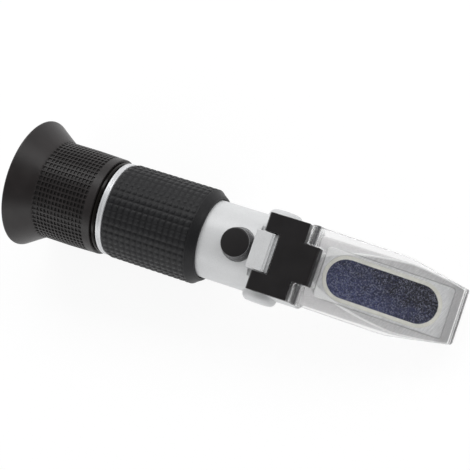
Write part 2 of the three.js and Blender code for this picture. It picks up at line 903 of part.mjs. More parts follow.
function prismHead() {
  const sealRoom = sealRadius + seatGap;
  const sealMiddle = headStart - sealFromShoulder;
  const sealFloor = headSpigotRadius - sealRadius - sealRoom;
  const body = spunX([
    [headBore, headStart - headSpigotLength],
    [headSpigotRadius, headStart - headSpigotLength],
    [headSpigotRadius, sealMiddle - sealRoom],
    [sealFloor, sealMiddle - sealRoom],
    [sealFloor, sealMiddle + sealRoom],
    [headSpigotRadius, sealMiddle + sealRoom],
    [headSpigotRadius, headStart],
    [headRadius, headStart],
    [headRadius, taperStart],
    [headTipRadius, headEnd - headBevel],
    [headTipRadius - headBevel, headEnd],
    [0, headEnd],
    [0, flatStart + windowStart + windowHalfWidth],
    [headBore, flatStart + windowStart + windowHalfWidth],
    [headBore, headStart - headSpigotLength],
  ]);
  const wide = headRadius + cutOverrun;
  const slopeEnd = headLength / Math.cos(flatAngle) + cutOverrun;
  const above = fromSlope(boxBetween([-cutOverrun, -wide, 0], [slopeEnd, wide, 2 * wide]));
  const pocket = fromSlope(alongZ(
    roundedBoxPoints(frameStart - seatGap, frameEnd + seatGap, frameHalfWidth + seatGap, frameCorner),
    -frameThickness - seatGap,
    cutOverrun,
  ));
  const wellPlan = slotPoints(windowStart - seatGap, windowEnd + seatGap, windowHalfWidth + seatGap);
  const well = common(
    fromSlope(alongZ(wellPlan, -2 * wide, cutOverrun)),
    boxBetween([headStart, -wide, -prismFloor - seatGap], [headEnd, wide, 2 * wide]),
  );
  const noseX = headEnd - headNoseRound;
  const noseZ = headRadius - (noseX - flatStart) * Math.tan(flatAngle) - headNoseRound;
  const noseCut = alongY([
    ...arc(noseX, noseZ, headNoseRound, Math.PI / 2 - flatAngle, 0),
    [headEnd + cutOverrun, noseZ],
    [headEnd + cutOverrun, noseZ + 2 * headNoseRound],
    [noseX, noseZ + 2 * headNoseRound],
  ], -wide, wide);
  return piece('prism_head', cut(body, above, pocket, well, noseCut), satinMetal());
}

function mainPrism() {
  const wide = headRadius + cutOverrun;
  const column = fromSlope(alongZ(slotPoints(windowStart, windowEnd, windowHalfWidth), -2 * wide, 0));
  const room = boxBetween(
    [flatStart + windowStart - prismRearInset, -wide, -prismFloor],
    [headEnd, wide, 2 * wide],
  );
  return piece('main_prism', common(column, room), blueGlass());
}

function onSlope(...meshes) {
  const group = new THREE.Group();
  group.position.set(flatStart, 0, headRadius);
  group.rotation.y = flatAngle;
  group.add(...meshes);
  return group;
}

function slopeRing(outer, inner) {
  const blank = alongZ(outer, -frameThickness, 0);
  return cut(blank, alongZ(inner, -frameThickness - cutOverrun, cutOverrun));
}

function prismFrame() {
  const outer = roundedBoxPoints(frameStart, frameEnd, frameHalfWidth, frameCorner);
  const inner = slotPoints(
    windowStart - frameReach,
    windowEnd + frameReach,
    windowHalfWidth + frameReach,
  );
  const headRound = toSlope(spunX(discProfile(headRadius, headStart, headEnd)));
  return piece('prism_frame', common(slopeRing(outer, inner), headRound), brushedMetal());
}

function prismSealant() {
  const outer = slotPoints(
    windowStart - sealantReach,
    windowEnd + sealantReach,
    windowHalfWidth + sealantReach,
  );
  const inner = slotPoints(windowStart - seatGap, windowEnd + seatGap, windowHalfWidth + seatGap);
  return piece('prism_sealant', slopeRing(outer, inner), creamSealant());
}

// Clear plate, modelled on the slope, with its knuckles on the front pin

const pinDown = new THREE.Vector2(frontPinX - flatStart, pinHeight - headRadius)
  .rotateAround(new THREE.Vector2(), flatAngle);

function platePlan() {
  const tip = plateLength;
  const slope = (plateHalfWidth - plateTipHalfWidth) / (tip - plateTaperStart);
  const bendStart = plateTaperStart - plateBendLength / 2;
  const bend = Array.from({ length: arcSteps + 1 }, (_, i) => {
    const along = (plateBendLength * i) / arcSteps;
    return [bendStart + along, plateHalfWidth - (slope * along ** 2) / (2 * plateBendLength)];
  });
  const corner = arc(
    tip - plateTipRound, plateTipHalfWidth - plateTipRound, plateTipRound, Math.PI / 2, 0, arcSteps / 2,
  );
  const half = [[pinDown.x, plateHalfWidth], ...bend, ...corner];
  const mirrored = half.map(([x, y]) => [x, -y]).reverse();
  return [...half, ...mirrored];
}

function daylightPlate() {
  const bottom = seatGap;
  const top = seatGap + plateThickness;
  const slab = alongZ(platePlan(), bottom, top + lipHeight);
  const lipRear = plateLength - lipThickness;
  const bow = bowRadius(lipRun, lipHeight);
  const bowAngle = Math.asin(lipRun / bow);
  const side = [
    [pinDown.x, bottom],
    [plateLength, bottom],
    [plateLength, top + lipHeight],
    ...arc(lipRear - lipRun, top + bow, bow, bowAngle - Math.PI / 2, -Math.PI / 2),
    [pinDown.x, top],
  ];
  const span = plateHalfWidth + cutOverrun;
  const shaped = common(slab, alongY(side, -span, span));
  const knuckles = spunY(discProfile(knuckleRadius, -plateHalfWidth, plateHalfWidth));
  const body = join(shaped, knuckles.translate(pinDown.x, 0, pinDown.y));
  const notchEnd = pinDown.x + tongueReach + tongueClearance;
  const notchHalf = lugHalfWidth + seatGap;
  const notch = boxBetween(
    [pinDown.x - knuckleRadius - cutOverrun, -notchHalf, -cutOverrun],
    [notchEnd, notchHalf, top + lipHeight + cutOverrun],
  );
  const hole = pinGeometry(frontPinHole, span).translate(pinDown.x, 0, pinDown.y);
  return piece('daylight_plate', cut(body, notch, hole), clearAcrylic());
}

// The instrument lies on the rim of its eyecup and the edge where its prism head starts to taper

function instrument() {
  const group = new THREE.Group();
  group.add(
    eyecup(), focusSleeve(),
    lensBarrel(), eyeLens(), lensSpacer(), fieldLens(), lensRing(),
    trimRing(), rubberGrip(), mainTube(),
    reticleCell(), reticleDisc(), reticleRing(), lightBaffle(),
    stripAnchor(), bimetalStrip(), anchorScrew(),
    screwCap(), calibrationScrew(),
    objectiveCell(), objectiveLens(), objectiveRing(),
    hingeLug(), ...lugScrews(), hingeLink(), rearHingePin(), frontHingePin(),
    prismHead(), headSeal(), mainPrism(),
    onSlope(prismFrame(), prismSealant(), daylightPlate()),
  );
  const lowest = Math.cos(Math.PI / roundSteps);
  const drop = (cupRimRadius - headRadius) * lowest;
  const run = taperStart - cupRimRound - cupRimLand;
  group.rotation.y = Math.atan(drop / run);
  return group;
}

const refractometer = new THREE.Group();
refractometer.add(instrument());
refractometer.updateMatrixWorld(true);
const bounds = new THREE.Box3().setFromObject(refractometer, true);
const middle = bounds.getCenter(new THREE.Vector3());
refractometer.children[0].position.set(-middle.x, -middle.y, -bounds.min.z);
refractometer.updateMatrixWorld(true);

export default refractometer;
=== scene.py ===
"""Dresses a packed hand-held refractometer: fine meshes, finishes, studio and camera.

Shapes are made in the instrument's own axes, in metres: X runs along the optical axis from the
rim of the eyecup to the nose of the prism head, and Z points to the clear plate. Each finished
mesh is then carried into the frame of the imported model.
"""

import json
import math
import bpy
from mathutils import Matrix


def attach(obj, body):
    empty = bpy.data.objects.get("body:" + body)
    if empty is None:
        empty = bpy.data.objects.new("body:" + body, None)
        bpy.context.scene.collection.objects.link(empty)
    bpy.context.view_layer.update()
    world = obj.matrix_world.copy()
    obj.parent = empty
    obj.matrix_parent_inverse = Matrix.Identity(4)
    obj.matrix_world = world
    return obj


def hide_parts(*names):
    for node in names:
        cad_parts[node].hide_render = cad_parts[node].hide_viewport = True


bl_info = {
    "name": "Hand-held refractometer",
    "version": (1, 0, 0),
    "blender": (4, 5, 0),
    "location": "3D View > Sidebar > Refractometer",
    "description": "Dresses the packed solids of a hand-held refractometer",
    "category": "Object",
}

import bmesh
import bpy
from bpy.props import FloatProperty, FloatVectorProperty, IntProperty, PointerProperty
from mathutils import Matrix, Vector

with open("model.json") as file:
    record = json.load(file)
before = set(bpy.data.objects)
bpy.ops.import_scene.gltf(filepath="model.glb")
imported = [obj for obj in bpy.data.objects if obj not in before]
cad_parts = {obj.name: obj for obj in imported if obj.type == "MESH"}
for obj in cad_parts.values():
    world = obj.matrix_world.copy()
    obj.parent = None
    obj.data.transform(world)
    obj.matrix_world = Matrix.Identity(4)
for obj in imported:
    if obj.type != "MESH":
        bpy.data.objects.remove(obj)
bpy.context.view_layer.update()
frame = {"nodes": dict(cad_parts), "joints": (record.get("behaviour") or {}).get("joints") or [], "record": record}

MM = 0.001
TINY = 1e-7
# How far off a measured place may lie, and the gap left between neighbouring pieces
SLACK = 0.1 * MM
GAP = 0.3 * MM
# Distance within which vertices count as one
WELD = 2e-6
# Angles between two faces: made one face below the first, given a rounded edge above the
# second, and shaded as an edge above the third
FLAT_ANGLE = math.radians(0.6)
EDGE_ANGLE = math.radians(28)
SHARP_ANGLE = math.radians(38)
WHITE = (1.0, 1.0, 1.0, 1.0)
PICTURE_WIDTH = 36.0
NODES = frame["nodes"]


# Axes and measures taken from the frame

def joint(name):
    return next(entry for entry in frame["joints"] if entry["name"] == name)


def axes_at(origin, along, across):
    """The matrix from axes at a point to the axes that the vectors are given in."""
    matrix = Matrix((along, across, along.cross(across))).transposed().to_4x4()
    matrix.translation = origin
    return matrix


def points_of(node, matrix):
    """A node's vertices in other axes."""
    return [matrix @ vertex.co for vertex in NODES[node].data.vertices]


def corners(node, matrix=None):
    """The lowest and highest corner of a node, in the instrument's axes or in others."""
    axes = list(zip(*points_of(node, matrix or FROM_ROW)))
    return Vector([min(axis) for axis in axes]), Vector([max(axis) for axis in axes])


def reach(node, start, end):
    """The largest distance of a node from the optical axis, between two places along it."""
    points = points_of(node, FROM_ROW)
    return max(math.hypot(point.y, point.z) for point in points if start <= point.x <= end)


def span(node, low, high):
    """Where along the optical axis a node has vertices between two distances from it."""
    points = points_of(node, FROM_ROW)
    places = [point.x for point in points if low <= math.hypot(point.y, point.z) <= high]
    return min(places), max(places)


def widest_normal(node):
    """The direction in which a node has the most surface, in the instrument's axes."""
    areas = {}
    for face in NODES[node].data.polygons:
        key = tuple(round(value, 2) for value in face.normal)
        areas.setdefault(key, [0.0, Vector()])
        areas[key][0] += face.area
        areas[key][1] += face.normal * face.area
    best = max((entry for entry in areas.values() if entry[1].z > 0), key=lambda entry: entry[0])
    return (FROM_ROW.to_3x3() @ best[1]).normalized()


AXIS = Vector(joint("focus_turn")["axis"]).normalized()
RIM = Vector(joint("focus_turn")["pos_m"])
ACROSS = Vector((0.0, 1.0, 0.0))
TO_ROW = axes_at(RIM, AXIS, ACROSS)
FROM_ROW = TO_ROW.inverted()

CUP_LOW, CUP_HIGH = corners("eyecup")
SLEEVE_LOW, SLEEVE_HIGH = corners("focus_sleeve")
RING_LOW, RING_HIGH = corners("trim_ring")
GRIP_LOW, GRIP_HIGH = corners("rubber_grip")
CAP_LOW, CAP_HIGH = corners("screw_cap")
LUG_LOW, LUG_HIGH = corners("hinge_lug")
HEAD_LOW, HEAD_HIGH = corners("prism_head")
SLEEVE_RADIUS = reach("focus_sleeve", SLEEVE_LOW.x, CUP_HIGH.x)
TUBE_RADIUS = reach("main_tube", GRIP_LOW.x, GRIP_HIGH.x)
HEAD_RADIUS = reach("prism_head", HEAD_HIGH.x - 20 * MM, HEAD_HIGH.x)
NOSE_RADIUS = reach("prism_head", HEAD_HIGH.x - MM, HEAD_HIGH.x)
HEAD_SHOULDER, HEAD_TAPER = span("prism_head", HEAD_RADIUS - SLACK, HEAD_RADIUS)

FACE_NORMAL = widest_normal("prism_frame")
FACE_ANGLE = math.atan2(FACE_NORMAL.x, FACE_NORMAL.z)
FACE_ALONG = Vector((math.cos(FACE_ANGLE), 0.0, -math.sin(FACE_ANGLE)))
FRONT_PIN = FROM_ROW @ Vector(joint("plate_hinge")["pos_m"])
FACE_TO_LOCAL = axes_at(FRONT_PIN, FACE_ALONG, ACROSS)
FACE_FROM_ROW = FACE_TO_LOCAL.inverted() @ FROM_ROW
WINDOW_LOW, WINDOW_HIGH = corners("main_prism", FACE_FROM_ROW)
GLASS_LOW, GLASS_HIGH = corners("main_prism")
SEALANT_LOW, SEALANT_HIGH = corners("prism_sealant", FACE_FROM_ROW)
FRAME_LOW, FRAME_HIGH = corners("prism_frame", FACE_FROM_ROW)
FACE_LEVEL = FRAME_HIGH.z
ABOVE_FACE = FACE_LEVEL + 3 * MM


# Outlines

def rounded(points, steps=5, loop=False):
    """Rounds the corners of an outline. Each point is (along, out, size of its rounding)."""
    path = []
    for i, (along, out, fillet) in enumerate(points):
        here = Vector((along, out))
        last = i == len(points) - 1
        if fillet == 0 or (not loop and (i == 0 or last)):
            path.append(here)
            continue
        back = Vector(points[i - 1][:2]) - here
        on = Vector(points[(i + 1) % len(points)][:2]) - here
        first = here + back.normalized() * min(fillet, back.length / 2)
        second = here + on.normalized() * min(fillet, on.length / 2)
        for step in range(steps + 1):
            share = step / steps
            path.append(first.lerp(here, share).lerp(here.lerp(second, share), share))
    return [(point.x, point.y) for point in path]


def even_angles(count):
    """The angles of a turned shape with so many sides."""
    return [2 * math.pi * i / count for i in range(count)]


# Meshes

def turned(profile, angles, loop=False, axis="X"):
    """A turned shape. The profile's points are (along the axis, radius)."""
    places = {
        "X": lambda along, out, angle: (along, out * math.sin(angle), out * math.cos(angle)),
        "Y": lambda along, out, angle: (out * math.cos(angle), along, out * math.sin(angle)),
        "Z": lambda along, out, angle: (out * math.cos(angle), out * math.sin(angle), along),
    }
    place = places[axis]
    shape = bmesh.new()
    rings = []
    for along, out in profile:
        turns = angles if out > TINY else [0.0]
        rings.append([shape.verts.new(place(along, max(out, 0.0), angle)) for angle in turns])
    pairs = list(zip(rings, rings[1:]))
    if loop:
        pairs.append((rings[-1], rings[0]))
    count = len(angles)
    for first, second in pairs:
        for i in range(count):
            j = (i + 1) % count
            corner = [first[i % len(first)], first[j % len(first)]]
            corner += [second[j % len(second)], second[i % len(second)]]
            face = list(dict.fromkeys(corner))
            if len(face) > 2:
                shape.faces.new(face)
    bmesh.ops.recalc_face_normals(shape, faces=shape.faces)
    return shape


def slab(outline, low, high, matrix):
    """A flat piece between two heights, its outline given in the plane of the axes of a matrix."""
    return stack([(low, outline), (high, outline)], matrix)


def stack(layers, matrix):
    """A closed piece through outlines at several heights of the axes of a matrix."""
    shape = bmesh.new()
    rings = [[shape.verts.new((x, y, height)) for x, y in outline] for height, outline in layers]
    count = len(rings[0])
    for lower, upper in zip(rings, rings[1:]):
        for i in range(count):
            j = (i + 1) % count
            shape.faces.new((lower[i], lower[j], upper[j], upper[i]))
    shape.faces.new(rings[-1])
    shape.faces.new(rings[0][::-1])
    bmesh.ops.recalc_face_normals(shape, faces=shape.faces)
    shape.transform(matrix)
    return shape


def stadium(low, high, half, steps=24):
    """The outline of a slot with round ends."""
    points = []
    for centre, start in ((high - half, -math.pi / 2), (low + half, math.pi / 2)):
        for step in range(steps + 1):
            angle = start + math.pi * step / steps
            points.append((centre + half * math.cos(angle), half * math.sin(angle)))
    return points


def rounded_box(low, high, half, corner):
    """The outline of a rectangle with rounded corners."""
    points = [(low, -half, corner), (high, -half, corner), (high, half, corner), (low, half, corner)]
    return rounded(points, loop=True)


def parted(shape, point, normal, clear=False):
    """Cuts a mesh at a plane, and clears the part in front of it if asked."""
    bmesh.ops.bisect_plane(
        shape, geom=shape.verts[:] + shape.edges[:] + shape.faces[:],
        plane_co=point, plane_no=normal, clear_outer=clear,
    )


def open_edges(shape):
    return [edge for edge in shape.edges if len(edge.link_faces) == 1]


def sliced(shape, point, normal):
    """Keeps the part of a mesh behind a plane and closes the cut."""
    parted(shape, point, normal, clear=True)
    # A dict keeps the order of the vertices, so that each run joins the same ones
    rim = dict.fromkeys(vertex for edge in open_edges(shape) for vertex in edge.verts)
    bmesh.ops.remove_doubles(shape, verts=list(rim), dist=SLACK)
    bmesh.ops.holes_fill(shape, edges=open_edges(shape), sides=0)
    bmesh.ops.recalc_face_normals(shape, faces=shape.faces)
    return shape


def rim_rounded(shape, matrix, level, width):
    """Rounds the edges of a mesh that lie at one height of the axes of a matrix."""
    inverse = matrix.inverted()
    chosen = [
        edge for edge in shape.edges
        if all(abs((inverse @ vertex.co).z - level) < WELD for vertex in edge.verts)
    ]
    bmesh.ops.bevel(
        shape, geom=chosen, offset=width, offset_type="OFFSET", segments=2,
        profile=0.5, affect="EDGES", clamp_overlap=False,
    )
    return shape


def copied(node):
    """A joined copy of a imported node's mesh, in the instrument's axes."""
    shape = bmesh.new()
    shape.from_mesh(NODES[node].data)
    bmesh.ops.remove_doubles(shape, verts=shape.verts, dist=WELD)
    bmesh.ops.dissolve_limit(
        shape, angle_limit=FLAT_ANGLE, use_dissolve_boundaries=False,
        verts=shape.verts, edges=shape.edges,
    )
    shape.transform(FROM_ROW)
    return shape


def stand(name, shape, material):
    """Makes an object of a mesh that is still in the instrument's axes."""
    mesh = bpy.data.meshes.new(name)
    shape.to_mesh(mesh)
    shape.free()
    mesh.materials.append(material)
    thing = bpy.data.objects.new(name, mesh)
    bpy.context.scene.collection.objects.link(thing)
    return thing


def settled(thing):
    """Turns an object's modifiers into a plain mesh."""
    depsgraph = bpy.context.evaluated_depsgraph_get()
    mesh = bpy.data.meshes.new_from_object(
        thing.evaluated_get(depsgraph), preserve_all_data_layers=True, depsgraph=depsgraph,
    )
    thing.modifiers.clear()
    old = thing.data
    thing.data = mesh
    bpy.data.meshes.remove(old)
    return thing


def smoothed(thing):
    """Smooths the shading of round faces and keeps the edges between faces at an angle."""
    thing.data.shade_smooth()
    thing.data.set_sharp_from_angle(angle=SHARP_ANGLE)
    return thing


def evened(thing):
    """Smooths the shading of round faces and keeps that of flat faces flat."""
    even = smoothed(thing).modifiers.new("level faces", "WEIGHTED_NORMAL")
    even.mode = "FACE_AREA"
    even.keep_sharp = True
    return settled(thing)


def bevelled(thing, width, segments=2):
    """Rounds the edges of an object and evens its shading."""
    bevel = thing.modifiers.new("edges", "BEVEL")
    bevel.width = width
    bevel.segments = segments
    bevel.limit_method = "ANGLE"
    bevel.angle_limit = EDGE_ANGLE
    bevel.use_clamp_overlap = False
    bevel.loop_slide = False
    return evened(settled(thing))


def cut(thing, cutters):
    """Cuts other shapes out of an object; they are used up."""
    tools = [stand(f"{thing.name}_tool_{i}", shape, thing.data.materials[0])
             for i, shape in enumerate(cutters)]
    for tool in tools:
        step = thing.modifiers.new(tool.name, "BOOLEAN")
        step.operation = "DIFFERENCE"
        step.solver = "EXACT"
        step.object = tool
    settled(thing)
    for tool in tools:
        mesh = tool.data
        bpy.data.objects.remove(tool)
        bpy.data.meshes.remove(mesh)
    return thing


def place(thing, body, slot, node):
    """Carries a finished mesh into the row frame and hands it to its body."""
    thing.data.transform(TO_ROW)
    if not thing.data.has_custom_normals:
        smoothed(thing)
    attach(thing, body)
    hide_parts(node)


# Node trees

def sign(operation, swapped=False):
    """The method of an operator sign; it adds a Math node."""
    def method(*pair):
        return pair[0].maker.math(operation, *(pair[::-1] if swapped else pair))
    return method


class Link:
    """An output socket that can stand in arithmetic."""

    def __init__(self, maker, socket):
        self.maker = maker
        self.socket = socket

    __add__ = sign("ADD")
    __radd__ = sign("ADD", swapped=True)
    __sub__ = sign("SUBTRACT")
    __rsub__ = sign("SUBTRACT", swapped=True)
    __mul__ = sign("MULTIPLY")
    __rmul__ = sign("MULTIPLY", swapped=True)
    __truediv__ = sign("DIVIDE")
    __pow__ = sign("POWER")
    __gt__ = sign("GREATER_THAN")
    __lt__ = sign("LESS_THAN")
    __abs__ = sign("ABSOLUTE")


class Maker:
    """Adds nodes to one node tree."""

    def __init__(self, tree):
        self.tree = tree

    def add(self, kind, values=None, out=0, **settings):
        """Adds a node: its settings first, then its sockets' values or links."""
        node = self.tree.nodes.new(kind)
        for name, setting in settings.items():
            setattr(node, name, setting)
        for name, value in (values or {}).items():
            if isinstance(value, Link):
                self.tree.links.new(value.socket, node.inputs[name])
            else:
                node.inputs[name].default_value = value
        return Link(self, node.outputs[out]) if node.outputs else node

    def math(self, operation, *values):
        return self.add("ShaderNodeMath", dict(enumerate(values)), operation=operation)

    def parts(self, vector):
        split = self.add("ShaderNodeSeparateXYZ", {0: vector}).socket.node
        return [Link(self, output) for output in split.outputs]

    def smooth(self, value, low, high):
        return self.add(
            "ShaderNodeMapRange", {0: value, 1: low, 2: high, 3: 0.0, 4: 1.0},
            interpolation_type="SMOOTHSTEP",
        )

    def blend(self, share, first, second):
        """A colour between two others."""
        return self.add(
            "ShaderNodeMix", {0: share, 6: first, 7: second}, out=2, data_type="RGBA",
        )


# Repeated relief on a turned surface

SHARE_NAMES = ("Rise Start", "Rise End", "Fall Start", "Fall End", "Side Land", "Side Floor")


def relief_tree():
    """A grid of raised or sunk cells round the X axis, shaped by shares of one cell."""
    tree = bpy.data.node_groups.new("cell relief", "GeometryNodeTree")
    for kind, names in (
        ("Geometry", ("Geometry",)),
        ("Material", ("Finish",)),
        ("Int", ("Columns", "Rows")),
        ("Float", ("Start", "Pitch", "Height", "First Squeeze") + SHARE_NAMES),
    ):
        for name in names:
            tree.interface.new_socket(name, in_out="INPUT", socket_type="NodeSocket" + kind)
    tree.interface.new_socket("Geometry", in_out="OUTPUT", socket_type="NodeSocketGeometry")

    maker = Maker(tree)
    inputs = {socket.name: Link(maker, socket) for socket in tree.nodes.new("NodeGroupInput").outputs}
    x, y, z = maker.parts(maker.add("GeometryNodeInputPosition"))
    even = (x - inputs["Start"]) / inputs["Pitch"]
    early = 0.5 - (0.5 - even) * inputs["First Squeeze"]
    along = maker.math("MAXIMUM", even, early)
    inside = (along > 0.0) * (along < inputs["Columns"])
    share = maker.math("FRACT", along)
    rise = maker.smooth(share, inputs["Rise Start"], inputs["Rise End"])
    fall = 1.0 - maker.smooth(share, inputs["Fall Start"], inputs["Fall End"])
    rows = (maker.math("ARCTAN2", y, z) / (2 * math.pi) + 1.0) * inputs["Rows"]
    side = abs(maker.math("FRACT", rows) - 0.5)
    flank = maker.smooth(0.5 - side, inputs["Side Land"], inputs["Side Floor"])
    shape = maker.math("MINIMUM", maker.math("MINIMUM", rise, fall), flank) * inside
    radial = maker.add("ShaderNodeCombineXYZ", {0: 0.0, 1: y, 2: z})
    outward = maker.add("ShaderNodeVectorMath", {0: radial}, operation="NORMALIZE")
    scaled = maker.add(
        "ShaderNodeVectorMath", {0: outward, "Scale": shape * inputs["Height"]}, operation="SCALE",
    )
    marked = maker.add(
        "GeometryNodeStoreNamedAttribute",
        {"Geometry": inputs["Geometry"], "Name": "relief", "Value": shape},
        data_type="FLOAT", domain="POINT",
    )
    moved = maker.add("GeometryNodeSetPosition", {"Geometry": marked, "Offset": scaled})
    real = maker.add("GeometryNodeRealizeInstances", {0: moved})
    dressed = maker.add("GeometryNodeSetMaterial", {"Geometry": real, "Material": inputs["Finish"]})
    maker.add("NodeGroupOutput", {0: dressed})
    return tree


class Cells:
    """A field of raised or sunk cells on a turned surface.

    The shares say where in one cell the relief rises and falls along the axis, and where its
    sides start and end. A squeeze under one lets the first cell reach further back.
    """

    def __init__(self, start, pitch, columns, rows, height, shares, sides, squeeze=1.0):
        self.values = {
            "Start": start, "Pitch": pitch, "Columns": columns, "Rows": rows, "Height": height,
            "First Squeeze": squeeze,
        }
        self.values.update(zip(SHARE_NAMES, shares + sides))
        places = [start + pitch * (column + share) for column in range(columns) for share in shares]
        early = [start + pitch * (0.5 - (0.5 - share) / squeeze) for share in shares if share < 0.5]
        self.stations = early + places[len(early):]
        land, floor = sides
        bends = (land, floor, 1 - floor, 1 - land)
        self.angles = [2 * math.pi * (row + bend) / rows for row in range(rows) for bend in bends]

    def pressed(self, name, profile, finish):
        """Turns a profile with vertices at each bend of the relief, and moves them."""
        thing = stand(name, turned(profile, self.angles, loop=True), finish)
        step = thing.modifiers.new("relief", "NODES")
        step.node_group = relief_tree()
        names = {item.name: item.identifier for item in step.node_group.interface.items_tree
                 if item.in_out == "INPUT" and item.socket_type != "NodeSocketGeometry"}
        for label, value in {"Finish": finish, **self.values}.items():
            step[names[label]] = value
        return settled(thing)


# Colours

def tint(code):
    """A linear colour from the usual six-figure code."""
    parts = [int(code[i:i + 2], 16) / 255 for i in (0, 2, 4)]
    return tuple(v / 12.92 if v <= 0.04045 else ((v + 0.055) / 1.055) ** 2.4 for v in parts)


def opaque(colour, shade=1.0):
    return (colour[0] * shade, colour[1] * shade, colour[2] * shade, 1.0)


# Finishes

BRUSH_ANGLE = math.radians(-62)
# Refractive indices
GLASS_INDEX = 1.52
ACRYLIC_INDEX = 1.49
# Height of the cap's first groove and distance between its grooves, as shares of its height
FIRST_RIDGE = 0.26
RIDGE_PITCH = 0.19
# Depth of the fine relief of the finishes
RUBBER_GRAIN = 0.03 * MM
METAL_GRAIN = 0.012 * MM
BRUSH_GRAIN = 0.01 * MM


def swing(pattern, amount):
    """A pattern between 0 and 1 made to swing about zero."""
    return (pattern - 0.5) * amount


class Finish(Maker):
    """A material with one Principled shader, its patterns in millimetres of the instrument."""

    def __init__(self, name):
        self.material = bpy.data.materials.new(name)
        self.material.use_nodes = True
        super().__init__(self.material.node_tree)
        self.tree.nodes.clear()
        raw = self.add("ShaderNodeTexCoord", out=3)
        self.place = self.add(
            "ShaderNodeMapping",
            {0: raw, 1: RIM, 2: TO_ROW.to_euler(), 3: (MM, MM, MM)},
            vector_type="TEXTURE",
        )

    def stretched(self, x, y, z):
        return self.add("ShaderNodeMapping", {0: self.place, 3: (x, y, z)})

    def noise(self, size, detail=3.0, where=None):
        """Noise whose lumps are about size millimetres."""
        return self.add("ShaderNodeTexNoise", {
            "Vector": where or self.place, "Scale": 1 / size, "Detail": detail, "Roughness": 0.55,
        })

    def relief(self):
        """The relief that the cells have left on the mesh."""
        return self.add("ShaderNodeAttribute", attribute_name="relief", out=2)

    def tones(self, pattern, low, high, colour, first, second):
        """Two shades of a colour, at the low and the high values of a pattern."""
        share = self.smooth(pattern, low, high)
        return self.blend(share, opaque(colour, first), opaque(colour, second))

    def bump(self, height, depth):
        """Relief whose full depth is given in metres."""
        return self.add("ShaderNodeBump", {"Height": height, "Distance": depth})

    def shade(self, **values):
        """The Principled shader, with the names of its sockets written as words."""
        names = {name.replace("_", " ").title().replace("Ior", "IOR"): value
                 for name, value in values.items()}
        return self.add("ShaderNodeBsdfPrincipled", names)

    def done(self, surface):
        self.add("ShaderNodeOutputMaterial", {0: surface})
        return self.material

    def painted(self, **values):
        return self.done(self.shade(**values))


def cup_rubber(colour, lit):
    """Matt moulded rubber, a little lighter where it is rubbed, with painted shade darkening its pits."""
    finish = Finish("cup rubber")
    cloud = finish.noise(9.0, 2.0)
    fine = finish.noise(0.2, 4.0)
    base = finish.blend(finish.smooth(cloud, 0.35, 0.7), opaque(colour), opaque(lit))
    # Painted shade: the pits of the relief are darkened.
    shaded_pits = finish.blend(finish.relief(), base, opaque(colour, 0.45))
    dust = finish.smooth(fine, 0.62, 0.75) * 0.25
    return finish.painted(
        base_color=finish.blend(dust, shaded_pits, opaque(lit, 1.6)),
        roughness=0.4 + swing(cloud, 0.16) + swing(fine, 0.1),
        specular_ior_level=0.36,
        normal=finish.bump(fine, RUBBER_GRAIN),
    )


def grip_rubber(colour, lit):
    """The grip's rubber, with a painted sheen that makes its bumps lighter than the hollows between them."""
    finish = Finish("grip rubber")
    cloud = finish.noise(7.0, 2.0)
    fine = finish.noise(0.22, 4.0)
    base = finish.tones(cloud, 0.3, 0.75, colour, 1.0, 1.25)
    return finish.painted(
        # Painted sheen: the tops of the bumps are blended towards the lighter colour.
        base_color=finish.blend(finish.relief() * 0.35, base, opaque(lit)),
        roughness=0.46 + swing(cloud, 0.2) + swing(fine, 0.1),
        specular_ior_level=0.27,
        normal=finish.bump(fine, RUBBER_GRAIN),
    )


def cap_rubber(colour):
    """The cap's rubber, with a painted highlight along the crests of its ridges."""
    finish = Finish("cap rubber")
    x, y, z = finish.parts(finish.place)
    centre = (CAP_LOW + CAP_HIGH) / (2 * MM)
    tall = (CAP_HIGH.z - CAP_LOW.z) / MM
    out = ((x - centre.x) ** 2.0 + (y - centre.y) ** 2.0) ** 0.5
    turn = (z - CAP_LOW.z / MM - FIRST_RIDGE * tall) / (RIDGE_PITCH * tall)
    phase = abs(finish.math("FRACT", turn) - 0.5)
    side = finish.smooth(out, CAP_HIGH.y / MM - 0.9, CAP_HIGH.y / MM - 0.6)
    crest_highlight = (1.0 - finish.smooth(phase, 0.04, 0.17)) * side
    fine = finish.noise(0.18, 3.0)
    base = finish.tones(fine, 0.45, 0.75, colour, 1.0, 1.35)
    return finish.painted(
        # Painted highlight: the crests on the cap's side are blended towards light grey.
        base_color=finish.blend(crest_highlight * 0.85, base, opaque(tint("a8a8aa"))),
        roughness=0.4 + swing(fine, 0.15),
        specular_ior_level=0.36,
        normal=finish.bump(fine, RUBBER_GRAIN),
    )


def plain_black(name, colour, roughness, grain, depth, specular=0.5):
    """Moulded or painted black with fine grain and faint wear."""
    finish = Finish(name)
    cloud = finish.noise(6.0, 2.0)
    fine = finish.noise(grain, 3.0)
    scratch = finish.noise(0.25, 2.0, finish.stretched(0.06, 1.0, 1.0))
    worn = finish.smooth(scratch, 0.66, 0.74) * 0.3
    base = finish.tones(cloud, 0.3, 0.75, colour, 1.0, 1.3)
    return finish.painted(
        base_color=finish.blend(worn, base, opaque(colour, 2.2)),
        roughness=roughness + swing(cloud, 0.12) + worn * 0.2,
        specular_ior_level=specular,
        normal=finish.bump(fine, depth),
    )


def blasted_metal(colour, roughness):
    """Satin metal with the fine grain of blasting and faint clouding."""
    finish = Finish("satin tube")
    grain = finish.noise(0.16, 2.0)
    light = finish.tones(grain, 0.3, 0.7, colour, 0.9, 1.06)
    fleck = finish.smooth(finish.noise(0.42, 3.0), 0.58, 0.72) * 0.14
    toned = finish.blend(fleck, light, opaque(colour, 0.6))
    cloud = finish.smooth(finish.noise(8.0, 2.0), 0.3, 0.7) * 0.3
    return finish.painted(
        base_color=finish.blend(cloud, toned, opaque(colour, 1.12)),
        metallic=0.15,
        roughness=roughness + swing(grain, 0.14),
        normal=finish.bump(grain, METAL_GRAIN),
    )


